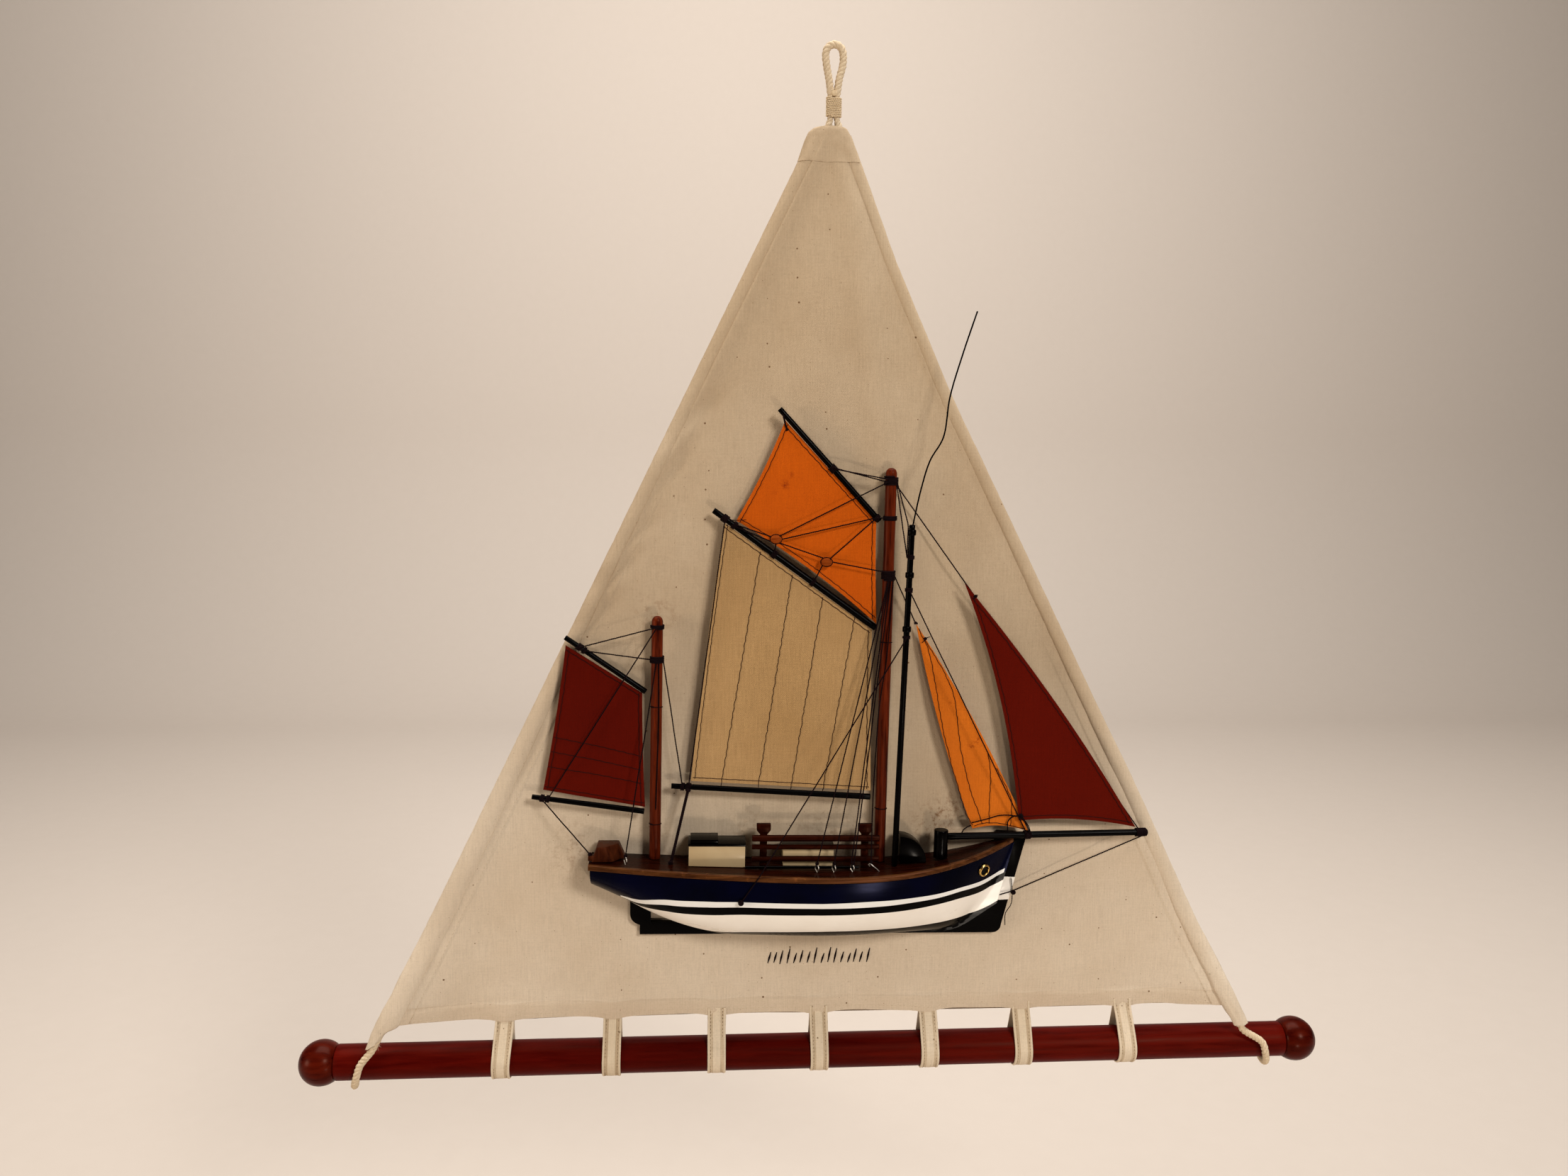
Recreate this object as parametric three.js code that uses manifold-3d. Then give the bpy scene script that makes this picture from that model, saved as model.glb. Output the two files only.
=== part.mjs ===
// A half hull sailing model with its rig, on a triangle of canvas that hangs from a rope eye,
// with a wooden rod in canvas loops along its foot.
// Millimetres, +Z up, the wall is on the +Y side, and the origin is where a hook bears in the rope eye.
import * as THREE from "three";
import { ConvexGeometry } from "three/addons/geometries/ConvexGeometry.js";
import { mergeVertices } from "three/addons/utils/BufferGeometryUtils.js";
import Module from "manifold-3d";

const wasm = await Module();
wasm.setup();

// Clearances
const gap = 0.3; // between pieces that touch
const boreClearance = 0.5; // round the rope inside the hems

// Hanging rope and its eye
const ropeDiameter = 5.4;
const eyeInnerWidth = 6.4;
const whippingTop = -31;
const whippingHeight = 14.5;
const whippingThread = 0.8;

// Canvas
const canvasTop = -50.5;
const canvasHeight = 628.5;
const canvasTopWidth = 25;
const canvasSlope = 0.487; // how far each side edge goes out for each millimetre down
const canvasThickness = 1;
const hemWidth = 13;
const hemDepth = 8.2;
const hemTail = 11; // the hems reach this far below the foot of the canvas
const cornerLiftHeight = 90; // the lowest part of the hems, which comes forward over the rod
const cornerStart = 0.8; // and the canvas with it, outside this part of the half width
const cornerSink = 3; // the hems stop this much short of clearing the rod's front
const cornerBends = [0, 0.2, 0.4, 0.62, 0.89, 1.25]; // the hem's bends, as parts of that height
const hemHeadBend = 40; // the rope turns in from the hem's line between these two depths
const hemHeadExit = 8;

// Rod, ball ends and canvas loops
const rodDiameter = 25;
const rodHalfLength = 349.3;
const rodDrop = 17.5; // free height between the canvas and the rod
const ballDiameter = 32;
const ballFlatDiameter = 24.4;
const loopWidth = 13.2;
const loopThickness = 1.3;
const loopLap = 9; // sewn to the canvas over this height
const loopPitch = 75.5;
const loopShifts = [-3, -1.5, -1.5, -2.5, 3, -2.5, -1]; // each loop's slip along the rod from its even place
const ropeTurnOffset = 27; // the rope's turn round the rod is this far outside the hem
const ropeTurnSpread = 9.5; // and its two ends come this much back in

// Place of the ship on the canvas
const shipRise = 120.7; // its deck line at x = 0, over the foot of the canvas
const shipTilt = THREE.MathUtils.degToRad(0.75); // it was glued on slightly bow down

// Keel board: rudder, keel and stem in one flat plate behind the hull
const boardThickness = 4;
const keelDepth = 59.2;
const rudderX = -138.9;
const rudderHeelX = -131.9;
const apertureX = -124.1;
const apertureWidth = 19;
const keelBarHeight = 9.2;
const apertureHeight = 13;
const rudderFoot = 7; // the rudder's heel over the keel line
const rudderCurve = 8.5; // height of its rounded corner
const forefootX = 131.6;
const forefootRadius = 6;
const stemRake = 0.24;
const stemHeadHeight = 12;
const boardInset = 6; // from the transom

// Hull
const hullAft = -165.5;
const hullWaist = -5; // the widest station
const hullBow = 138;
const hullBeam = 44; // half breadth at the waist
const transomBeam = 28.6;
const bowBeam = 3;
const aftFullness = 1.58;
const foreFullness = 2.37;
const sheerLow = -3.8;
const sheerAft = 4.2;
const sheerFore = 17.6;
const hullDepth = 57; // underside of the hull below the deck line
const transomDepth = 20.5;
const bowDepth = 36;
const counterX = -139; // the counter meets the run here
const counterDepth = 33;
const runX = -62; // the underside is level between here and the forefoot
const forefootStart = 82;
const minBreadth = 2.2; // the hull stays this thick at its lowest edge
const deckThickness = 3.8;
const deckOverhang = 0.8;
const deckAftOverhang = 1.2;
const boxAft = 1.9; // how boxy the sections are, aft, at the waist and at the bow
const boxWaist = 2.7;
const boxBow = 1.25;

// Deck furniture: places along the ship, depths from the canvas and heights over the deck line
const furnitureBack = -5.6;
const benchLength = 22.6;
const benchFront = -23.5;
const benchTop = 11;
const benchShoulder = 8; // its forward end is this wide at the back, and then slants
const benchBevel = 9;
const benchTaperAft = 3.4;
const benchTaperFore = 4.6;
const cleatX = -166.2;
const cleatY = -20;
const cleatWidth = 5;
const cleatTop = 4.7;
const houseX = -97.5;
const houseLength = 39.5;
const houseFront = -24.4;
const houseWallTop = 12.4;
const roofThickness = 1.7;
const roofOverhang = 0.5;
const slideInset = 1;
const slideLength = 19.5;
const slideHeight = 2.4;
const hatchX = -31;
const hatchLength = 36;
const hatchFront = -19.4;
const hatchWallTop = 8.6;
const rackPostX = [-45, 27];
const rackPostTop = 27;
const rackPostWidth = 5;
const rackPostDepth = 4;
const rackHeadWidth = 10;
const rackHeadHeight = 7.5;
const rackPostY = -17.8;
const rackSparDiameters = [4.6, 3.6, 4];
const rackSparHeights = [17.8, 11.4, 2.8];
const rackSparStart = -53.3;
const rackSparLength = 90;
const quadrantX = 52;
const quadrantRadius = 19;
const quadrantBack = -8;
const quadrantFront = -21.9;
const bollardX = 82;
const bollardY = -17;
const bollardDiameter = 10;
const bollardTop = 22.3;
const chockLength = 17;
const chockDepth = 4.5;
const chockBack = -1.3;
const chockOverhang = 3; // past the bow
const chockTop = 17.5;
const hawseX = 115;
const hawseHeight = -7;
const hawseDiameter = 10;
const hawseWire = 2.2;

// Masts, pole and spars, all but the pole at the same depth
const mastY = -10;
const mainX = 39;
const mainTop = 278.2;
const mainDiameter = 8;
const mizzenX = -121.5;
const mizzenTop = 172.5;
const mizzenDiameter = 8;
const bandWire = 1.2; // the thread bands round the masts
const bandPitch = 2.2; // bands side by side
const mainHeadDrop = 8.3; // the bands, from the top of each mast
const mainMidDrop = 75;
const yardBandDrop = 34.8;
const mizzenHeadDrop = 7.5;
const mizzenMidDrop = 30.5;
const poleFootX = 48;
const poleLean = 4.6;
const poleTop = 239.7;
const poleDiameter = 4.2;
const poleY = -22.5;
const poleBandDrops = [5.3, 34.8, 72.5]; // from the pole's top
const poleBandHeight = 4;
const poleBandStep = 0.9;
const poleTieDrops = [22.2, 45.2, 78.2]; // halyards, pole stay and the long fall
const wireDiameter = 0.9;
const wireRoot = 3; // length let into the pole
const wireBends = [
  [0, 0],
  [5.2, 27],
  [10.8, 47],
  [19.4, 63],
  [23, 90.5],
  [30.7, 119.4],
  [39.6, 148.2],
]; // from its root in the pole
const mainGaffHeight = 165;
const mainGaffLength = 142.3;
const mainGaffPeak = THREE.MathUtils.degToRad(34.95);
const mainGaffDiameter = 4.6;
const mainBoomHeight = 44.2;
const mizzenClearance = 17; // the main boom ends this far short of the mizzen mast
const mainBoomPeak = THREE.MathUtils.degToRad(3);
const mainBoomDiameter = 4.3;
const yardDrop = 38.2; // its heel, from the top of the main mast
const yardLength = 105.6;
const yardPeak = THREE.MathUtils.degToRad(46.7);
const yardDiameter = 4.3;
const mizzenGaffHeight = 118.2;
const mizzenGaffLength = 69;
const mizzenGaffPeak = THREE.MathUtils.degToRad(34);
const mizzenGaffDiameter = 4;
const mizzenBoomHeight = 33.1;
const mizzenBoomLength = 80.6;
const mizzenBoomPeak = THREE.MathUtils.degToRad(7.5);
const mizzenBoomDiameter = 4;
const bowspritInnerY = -13.5;
const bowspritHeight = 16.2;
const bowspritEndX = 235.4;
const bowspritRise = 2.2;
const bowspritDiameter = 5;

// Sails
const sailY = -9;
const jibY = -11.2; // the jib passes in front of the forestay and of the staysail
const sailThickness = 0.8;
const footLift = 4.2; // the lower edge of a sail over its boom
const heelInset = 3; // its upper corner from the heel of the spar over it
const tackInset = 1.5; // and its lower one from the heel of the boom
const mainPeakInset = 11; // the outer corners from the ends of their spars
const mainClewInset = 13.5;
const topsailHeadInset = 9;
const topsailClewInset = 17;
const topsailClewLift = 8;
const mizzenPeakInset = 3.5;
const mizzenClewInset = 7;
const headHang = 4.5; // the outer corners hang this far under the yard and the mizzen gaff
const jibHead = [93.3, 198.7];
const jibTackInset = 9.4; // from the bowsprit's end
const jibTackHeight = 22.5;
const jibClew = [139.6, 27.3];
const staysailHead = [60.2, 168.9];
const staysailTack = [147, 21.5];
const staysailClew = [104.8, 25.4];

// Rigging: places along the ship, and along each spar as parts of its length
const threadDiameter = 0.9;
const sheetDiameter = 2.2;
const blockLength = 7.7;
const blockHeight = 5.7;
const blockThickness = 4.2;
const blockY = -14.2;
const blockPlaces = [
  [-40.5, 227.6],
  [-5, 212.3],
];
const deckEyeY = -31.5;
const deckEyeX = [-7.9, 4, 17];
const deckEyeDiameter = 5.4;
const deckEyeWire = 0.9;
const eyeTurn = 0.5; // how far the screw eyes are turned from facing the bow
const shroudSpread = 1; // two shrouds share the last eye
const lastShroudX = 31;
const mizzenEyeSetback = 19.8; // behind the mizzen mast
const mizzenEyeY = -24;
const gaffTies = [0.4, 0.637, 0.875, 0.931];
const yardTies = [0.047, 0.478];
const boomTies = [0.916, 0.944]; // sheet with topping lift, and the mizzen stay
const sheetFoot = [-110, -21];
const mizzenGaffTies = [0.768, 0.826];
const mizzenBoomTies = [0.862, 0.912];
const bowspritTies = [0.394, 0.977, 0.953]; // pole stay, bobstay and forestay
const bobstayFoot = [138.1, -27.4];
const knotDiameter = 2.4;
const fallEdgeX = -49;
const fallFoot = [-61, -21.7];
const sillX = [-58, 22];
const sillDiameter = 2;
const sillY = -27;

// Facets
const roundSides = 12;
const threadSides = 4;
const ringSides = 8;

// Materials
function finish(color, roughness, metalness = 0) {
  return new THREE.MeshStandardMaterial({ color, roughness, metalness });
}
const canvasCloth = finish(0xcdbd9a, 0.95);
const cottonRope = finish(0xc9b797, 0.95);
const rodWood = finish(0x4a100a, 0.35);
const ballWood = finish(0x6a1d0e, 0.25);
const navyPaint = finish(0x0a0c20, 0.3);
const blackPaint = finish(0x0b0909, 0.4);
const whitePaint = finish(0xd8cdb8, 0.5);
const deckWood = finish(0x4c2412, 0.45);
const mastWood = finish(0x5d2413, 0.4);
const brass = finish(0xb08a3e, 0.35, 1);
const steel = finish(0x9a958c, 0.4, 1);
const blackThread = finish(0x120d12, 0.9);
const orangeCloth = finish(0xc96a1c, 0.9);
const redCloth = finish(0x6d2412, 0.9);
const linenCloth = finish(0xa78c63, 0.95);
const blockWood = finish(0x9c4a1c, 0.5);

// Solids: closed geometry to and from manifold form
function solid(geometry) {
  const plain = geometry.clone();
  plain.deleteAttribute("normal");
  plain.deleteAttribute("uv");
  const merged = mergeVertices(plain, 1e-4);
  return new wasm.Manifold(
    new wasm.Mesh({
      numProp: 3,
      vertProperties: merged.attributes.position.array,
      triVerts: new Uint32Array(merged.index.array),
    }),
  );
}
function geometryOf(body) {
  const mesh = body.getMesh();
  const geometry = new THREE.BufferGeometry();
  geometry.setAttribute("position", new THREE.BufferAttribute(mesh.vertProperties, 3));
  geometry.setIndex(new THREE.BufferAttribute(mesh.triVerts, 1));
  geometry.computeVertexNormals();
  return geometry;
}
function join(geometries) {
  return geometryOf(geometries.map(solid).reduce((whole, piece) => whole.add(piece)));
}

// A box of cells whose corners, from 0 to 1 each way, are sent to their places by a function
function mappedBox(cellsX, cellsY, cellsZ, place) {
  const geometry = new THREE.BoxGeometry(1, 1, 1, cellsX, cellsY, cellsZ);
  const position = geometry.attributes.position;
  const corner = new THREE.Vector3();
  for (let i = 0; i < position.count; i++) {
    corner.fromBufferAttribute(position, i).addScalar(0.5);
    position.setXYZ(i, ...place(corner.x, corner.y, corner.z));
  }
  return geometry;
}

// A smooth route whose steps follow its points, so that close points give close steps
function route(points) {
  const curve = new THREE.CatmullRomCurve3(points, false, "centripetal");
  curve.getPointAt = curve.getPoint;
  curve.getTangentAt = curve.getTangent;
  return curve;
}
function ovalShape(radiusX, radiusY, sides) {
  const shape = new THREE.Shape();
  for (let i = 0; i < sides; i++) {
    const angle = (i * 2 * Math.PI) / sides;
    const x = radiusX * Math.cos(angle);
    const y = radiusY * Math.sin(angle);
    if (i === 0) shape.moveTo(x, y);
    else shape.lineTo(x, y);
  }
  shape.closePath();
  return shape;
}
function sweep(points, shape, stepsPerPoint) {
  return new THREE.ExtrudeGeometry(shape, {
    steps: (points.length - 1) * stepsPerPoint,
    extrudePath: route(points),
    bevelEnabled: false,
  });
}

// A round bar between two points, and a ring round an axis
function bar(from, to, radius, sides = threadSides, endRadius = radius) {
  const along = new THREE.Vector3().subVectors(to, from);
  const geometry = new THREE.CylinderGeometry(endRadius, radius, along.length(), sides, 1);
  const turn = new THREE.Quaternion().setFromUnitVectors(
    new THREE.Vector3(0, 1, 0),
    along.clone().normalize(),
  );
  geometry.applyQuaternion(turn);
  const middle = new THREE.Vector3().addVectors(from, to).multiplyScalar(0.5);
  return geometry.translate(middle.x, middle.y, middle.z);
}
function ring(centre, axis, radius, wire, sides = ringSides) {
  const geometry = new THREE.TorusGeometry(radius, wire, threadSides, sides);
  const turn = new THREE.Quaternion().setFromUnitVectors(
    new THREE.Vector3(0, 0, 1),
    axis.clone().normalize(),
  );
  return geometry.applyQuaternion(turn).translate(centre.x, centre.y, centre.z);
}

// A turned piece along Z, from a list of radius and height
function turned(profile, sides = roundSides) {
  const points = profile.map(([radius, height]) => new THREE.Vector2(radius, height));
  return new THREE.LatheGeometry(points, sides).rotateX(Math.PI / 2);
}
// A flat outline in the ship's plane, given a thickness from the depth nearer the canvas towards the front
function plate(shape, backY, thickness, curveSegments = 5) {
  const geometry = new THREE.ExtrudeGeometry(shape, {
    depth: thickness,
    bevelEnabled: false,
    curveSegments,
  });
  return geometry.rotateX(Math.PI / 2).translate(0, backY, 0);
}

const model = new THREE.Group();
const ship = new THREE.Group();
ship.position.z = canvasTop - canvasHeight + shipRise;
ship.rotation.y = shipTilt;
model.add(ship);
function put(group, name, material, geometry) {
  const mesh = new THREE.Mesh(geometry, material);
  mesh.name = name;
  group.add(mesh);
  return mesh;
}
const lerp = THREE.MathUtils.lerp;
const smooth = THREE.MathUtils.smoothstep;
const point = (x, y, z) => new THREE.Vector3(x, y, z);

// Places on the canvas
const canvasFoot = canvasTop - canvasHeight;
const ropeRadius = ropeDiameter / 2;
const rodRadius = rodDiameter / 2;
const rodZ = canvasFoot - rodDrop - rodRadius;
const hemTilt = Math.atan(canvasSlope);
const hemInset = hemWidth / 2 / Math.cos(hemTilt);
const cornerLift = rodRadius + hemDepth / 2 - cornerSink;
function canvasHalfWidth(z) {
  return canvasTopWidth / 2 + canvasSlope * (canvasTop - z);
}
function liftAt(z) {
  return cornerLift * smooth(-z, -canvasFoot - cornerLiftHeight, -canvasFoot + hemTail);
}
function hemPoint(z) {
  return point(canvasHalfWidth(z) - hemInset, -liftAt(z), z);
}
const hemEnd = canvasFoot - hemTail;
const hemSteps = cornerBends.map((part) => hemEnd + part * cornerLiftHeight);
const strandX = ropeRadius + gap / 2; // the two strands side by side in the whipping

// The hanging rope: round the rod, up one hem, round the eye, and down again
function hangingRope() {
  const turnSteps = 12;
  const turnStart = 1;
  const turnEnd = 6.6;
  const turnStep = (turnEnd - turnStart) / turnSteps;
  const turnRadius = (rodRadius + gap + ropeRadius) / Math.cos(turnStep / 2);
  const turnX = hemPoint(canvasFoot).x + ropeTurnOffset;
  const wraps = [];
  for (let i = 0; i <= turnSteps; i++) {
    const angle = turnStart + i * turnStep;
    const inward = ropeTurnSpread * Math.abs(1 - (2 * i) / turnSteps) ** 1.6;
    const y = -turnRadius * Math.cos(angle);
    wraps.push(point(turnX - inward, y, rodZ + turnRadius * Math.sin(angle)));
  }
  const eyeX = (eyeInnerWidth + ropeDiameter) / 2;
  const eyeZ = -eyeInnerWidth / 2;
  const side = [
    ...wraps,
    hemPoint(hemEnd - 4).add(point(2.2, -0.4, 0)),
    ...hemSteps.map(hemPoint),
    hemPoint(canvasTop - hemHeadBend),
    hemPoint(canvasTop - hemHeadExit),
    point(strandX + 0.9, 0, canvasTop + 1.6),
    point(strandX, 0, whippingTop - whippingHeight),
    point(strandX, 0, whippingTop),
    point(strandX + 0.8, 0, (whippingTop * 2) / 3),
    point(eyeX - 0.6, 0, whippingTop / 3),
    point(eyeX, 0, eyeZ),
  ];
  const top = [];
  const archSteps = 5;
  for (let i = 1; i < archSteps; i++) {
    const angle = (i * Math.PI) / archSteps;
    top.push(point(eyeX * Math.cos(angle), 0, eyeZ + eyeX * Math.sin(angle)));
  }
  const other = side.map((p) => point(-p.x, p.y, p.z)).reverse();
  return sweep([...side, ...top, ...other], ovalShape(ropeRadius, ropeRadius, 8), 1);
}
put(model, "hanging_rope", cottonRope, hangingRope());

// The whipping that binds the two strands under the eye
function stadium(halfLength, radius, sides = 5) {
  const shape = new THREE.Shape();
  for (let i = 0; i <= sides; i++) {
    const angle = -Math.PI / 2 + (i * Math.PI) / sides;
    const x = halfLength + radius * Math.cos(angle);
    const y = radius * Math.sin(angle);
    if (i === 0) shape.moveTo(x, y);
    else shape.lineTo(x, y);
  }
  for (let i = 0; i <= sides; i++) {
    const angle = Math.PI / 2 + (i * Math.PI) / sides;
    shape.lineTo(-halfLength + radius * Math.cos(angle), radius * Math.sin(angle));
  }
  shape.closePath();
  return shape;
}
function whipping() {
  const inner = (ropeRadius + gap) / Math.cos(Math.PI / 10);
  const shape = stadium(strandX, inner + whippingThread);
  shape.holes.push(stadium(strandX, inner));
  const geometry = new THREE.ExtrudeGeometry(shape, { depth: whippingHeight, bevelEnabled: false });
  return geometry.translate(0, 0, whippingTop - whippingHeight);
}
put(model, "eye_whipping", cottonRope, whipping());

// The canvas: a triangle of cloth with a hollow hem down each side for the rope
function canvas() {
  const panel = mappedBox(20, 1, 8, (u, v, w) => {
    const z = lerp(canvasFoot, canvasTop, w * w);
    const across = 2 * u - 1;
    const x = across * (canvasHalfWidth(z) - hemInset);
    const corner = smooth(Math.abs(across), cornerStart, 1);
    return [x, (v - 0.5) * canvasThickness - liftAt(z) * corner, z];
  });
  const stations = [...hemSteps, (canvasTop + canvasFoot) / 2, canvasTop];
  const outer = ovalShape(hemDepth / 2, hemWidth / 2, roundSides);
  const boreRadius = (ropeRadius + boreClearance) / Math.cos(Math.PI / 8);
  const bore = ovalShape(boreRadius, boreRadius, 8);
  const boreStations = [hemEnd - 3, ...stations.slice(1, -1), canvasTop - hemHeadExit, canvasTop + 3];
  let cloth = solid(panel);
  for (const hand of [1, -1]) {
    const mirrored = (z) => hemPoint(z).multiply(point(hand, 1, 1));
    cloth = cloth.add(solid(sweep(stations.map(mirrored), outer, 1)));
  }
  for (const hand of [1, -1]) {
    const mirrored = (z) => hemPoint(z).multiply(point(hand, 1, 1));
    cloth = cloth.subtract(solid(sweep(boreStations.map(mirrored), bore, 1)));
  }
  return geometryOf(cloth);
}
put(model, "canvas", canvasCloth, canvas());

// The rod and its ball ends
const rod = new THREE.CylinderGeometry(rodRadius, rodRadius, 2 * rodHalfLength, 28);
put(model, "rod", rodWood, rod.rotateZ(Math.PI / 2).translate(0, 0, rodZ));
function ballEnd() {
  const ballRadius = ballDiameter / 2;
  const flat = Math.acos(ballFlatDiameter / ballDiameter);
  const profile = [[0, -ballRadius * Math.sin(flat)]];
  const steps = 9;
  for (let i = 0; i < steps; i++) {
    const angle = lerp(-flat, Math.PI / 2, i / steps);
    profile.push([ballRadius * Math.cos(angle), ballRadius * Math.sin(angle)]);
  }
  profile.push([0, ballRadius]);
  return turned(profile, 20);
}
for (const [name, hand] of [
  ["ball_end_left", -1],
  ["ball_end_right", 1],
]) {
  const ball = put(model, name, ballWood, ballEnd());
  const flatOffset = (ballDiameter / 2) * Math.sin(Math.acos(ballFlatDiameter / ballDiameter));
  ball.position.set(hand * (rodHalfLength + gap + flatOffset), 0, rodZ);
  ball.rotation.y = (hand * Math.PI) / 2;
}

// The canvas loops that carry the rod
function loop() {
  const legY = canvasThickness / 2 + gap + loopThickness / 2;
  const leg = [point(0, -legY, canvasFoot + loopLap), point(0, -legY, canvasFoot)];
  const bend = rodRadius + gap + loopThickness / 2;
  const legHeight = canvasFoot - rodZ;
  const touch = Math.atan2(legHeight, legY) - Math.acos(bend / Math.hypot(legHeight, legY));
  const turnSteps = 9;
  const turnStep = (Math.PI + 2 * touch) / turnSteps;
  const turnRadius = bend / Math.cos(turnStep / 2);
  const around = [];
  for (let i = 0; i <= turnSteps; i++) {
    const angle = touch - i * turnStep;
    around.push(point(0, -turnRadius * Math.cos(angle), rodZ + turnRadius * Math.sin(angle)));
  }
  const back = leg.map((p) => point(0, -p.y, p.z)).reverse();
  const section = new THREE.Shape();
  section.moveTo(-loopWidth / 2, -loopThickness / 2);
  section.lineTo(loopWidth / 2, -loopThickness / 2);
  section.lineTo(loopWidth / 2, loopThickness / 2);
  section.lineTo(-loopWidth / 2, loopThickness / 2);
  section.closePath();
  return sweep([...leg, ...around, ...back], section, 1);
}
loopShifts.forEach((shift, i) => {
  const strap = put(model, "rod_loop_" + (i + 1), canvasCloth, loop());
  strap.position.x = (i - (loopShifts.length - 1) / 2) * loopPitch + shift;
});

// The hull's lines: breadth and height of the deck edge, and depth of the underside, along the ship
const boardBack = -(canvasThickness / 2 + gap);
const boardFront = boardBack - boardThickness;
const hullBack = boardFront - gap;
function halfBreadth(x) {
  if (x < hullWaist) {
    const aft = (hullWaist - x) / (hullWaist - hullAft);
    return lerp(hullBeam, transomBeam, aft ** aftFullness);
  }
  const fore = Math.min(1, (x - hullWaist) / (hullBow - hullWaist + 5));
  return lerp(hullBeam, bowBeam, fore ** foreFullness);
}
function deckTop(x) {
  if (x < 0) return sheerLow + sheerAft * (x / hullAft) ** 1.6;
  return sheerLow + sheerFore * (x / hullBow) ** 2.6;
}
function underside(x) {
  if (x < counterX) {
    return -lerp(transomDepth, counterDepth, (x - hullAft) / (counterX - hullAft));
  }
  if (x < runX) {
    const run = (x - counterX) / (runX - counterX);
    return -lerp(counterDepth, hullDepth, Math.sin((run * Math.PI) / 2) ** 0.9);
  }
  const rise = Math.max(0, (x - forefootStart) / (hullBow - forefootStart));
  return -lerp(hullDepth, bowDepth, rise ** 2);
}
// How boxy a section is: full amidships, and sharper towards both ends
function boxiness(x) {
  if (x < hullWaist) return lerp(boxWaist, boxAft, (hullWaist - x) / (hullWaist - hullAft));
  return lerp(boxWaist, boxBow, ((x - hullWaist) / (hullBow - hullWaist)) ** 1.5);
}
// A point of the hull's skin: station x, and fall from 0 at the deck edge to 1 at the underside
function skin(x, fall) {
  const top = deckTop(x) - deckThickness - gap;
  const angle = (fall * Math.PI) / 2;
  const power = 2 / boxiness(x);
  const z = lerp(top, underside(x), Math.sin(angle) ** power);
  const breadth = Math.max(minBreadth, halfBreadth(x) * Math.cos(angle) ** power);
  const lean = stemRake * (z - top) * smooth(x, forefootStart, hullBow);
  return point(x + lean, -Math.max(breadth, -hullBack + minBreadth), z);
}
function hull() {
  const stations = 22;
  const levels = 8;
  return mappedBox(stations, 1, levels, (u, v, w) => {
    const x = lerp(hullAft, hullBow, 0.5 - 0.5 * Math.cos(u * Math.PI) * 0.6 + (u - 0.5) * 0.4);
    const p = skin(x, 1 - w);
    return [p.x, v === 1 ? hullBack : p.y, p.z];
  });
}
put(ship, "hull", navyPaint, hull());

// The deck plank, which laps over the hull and the keel board
function deck() {
  const end = hullBow - 0.5;
  return mappedBox(22, 1, 1, (u, v, w) => {
    const x = lerp(hullAft - deckAftOverhang, end, u);
    const inside = Math.max(hullAft, x);
    const z = deckTop(inside) - (1 - w) * deckThickness;
    return [x, v === 1 ? boardBack : -halfBreadth(inside) - deckOverhang, z];
  });
}
put(ship, "deck", deckWood, deck());

// The keel board
function keelBoard() {
  const shape = new THREE.Shape();
  const keelZ = -keelDepth;
  const stemX = (z) => forefootX + (z + keelDepth - forefootRadius) * stemRake;
  shape.moveTo(rudderX, -counterDepth - 1);
  shape.lineTo(rudderX, keelZ + rudderFoot + rudderCurve);
  shape.quadraticCurveTo(rudderX, keelZ + rudderFoot + 2, rudderHeelX, keelZ + rudderFoot);
  shape.lineTo(rudderHeelX, keelZ);
  shape.lineTo(forefootX - forefootRadius, keelZ);
  shape.quadraticCurveTo(forefootX, keelZ, forefootX, keelZ + forefootRadius);
  shape.lineTo(stemX(stemHeadHeight), stemHeadHeight);
  shape.lineTo(hullBow + 0.2, stemHeadHeight);
  const steps = 12;
  for (let i = 0; i <= steps; i++) {
    const x = lerp(hullBow + 0.2, hullAft + boardInset, i / steps);
    shape.lineTo(x, deckTop(x) - deckThickness - gap);
  }
  shape.lineTo(hullAft + boardInset, -transomDepth + 1);
  shape.closePath();
  const opening = new THREE.Path();
  const sill = keelZ + keelBarHeight;
  opening.moveTo(apertureX, sill);
  opening.lineTo(apertureX, sill + apertureHeight);
  opening.lineTo(apertureX + apertureWidth, sill + apertureHeight);
  opening.lineTo(apertureX + apertureWidth, sill);
  opening.closePath();
  shape.holes.push(opening);
  return plate(shape, boardBack, boardThickness, 4);
}
put(ship, "keel_board", blackPaint, keelBoard());

// A block on the deck whose foot follows the deck, from back to front and up to a level top
function deckBlock(startX, length, backY, frontY, top) {
  return mappedBox(4, 1, 1, (u, v, w) => {
    const x = startX + u * length;
    return [x, lerp(frontY, backY, v), lerp(deckTop(x) + gap, top, w)];
  });
}
// The highest deck under a small foot
function deckUnder(x, halfLength) {
  return Math.max(deckTop(x - halfLength), deckTop(x + halfLength)) + gap;
}

// Stern bench, chamfered where it turns forward, with a cleat at its aft end
function sternBench() {
  const left = hullAft + 0.6;
  const right = left + benchLength;
  const foot = deckUnder(left, 0);
  const plan = [
    [left, furnitureBack],
    [right, furnitureBack],
    [right, furnitureBack - benchShoulder],
    [right - benchBevel, benchFront],
    [left, benchFront],
  ];
  const corners = [];
  for (const [x, y] of plan) {
    corners.push(point(x, y, foot));
    const inward = x < (left + right) / 2 ? benchTaperAft : -benchTaperFore;
    corners.push(point(x + inward, lerp(y, furnitureBack, 0.08), benchTop));
  }
  const cleat = mappedBox(1, 1, 1, (u, v, w) => [
    lerp(2 * cleatX - left, left + 1.5, u),
    cleatY + (v - 0.5) * cleatWidth,
    lerp(foot + 0.6, cleatTop, w),
  ]);
  return join([new ConvexGeometry(corners), cleat]);
}
put(ship, "stern_bench", deckWood, sternBench());

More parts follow.
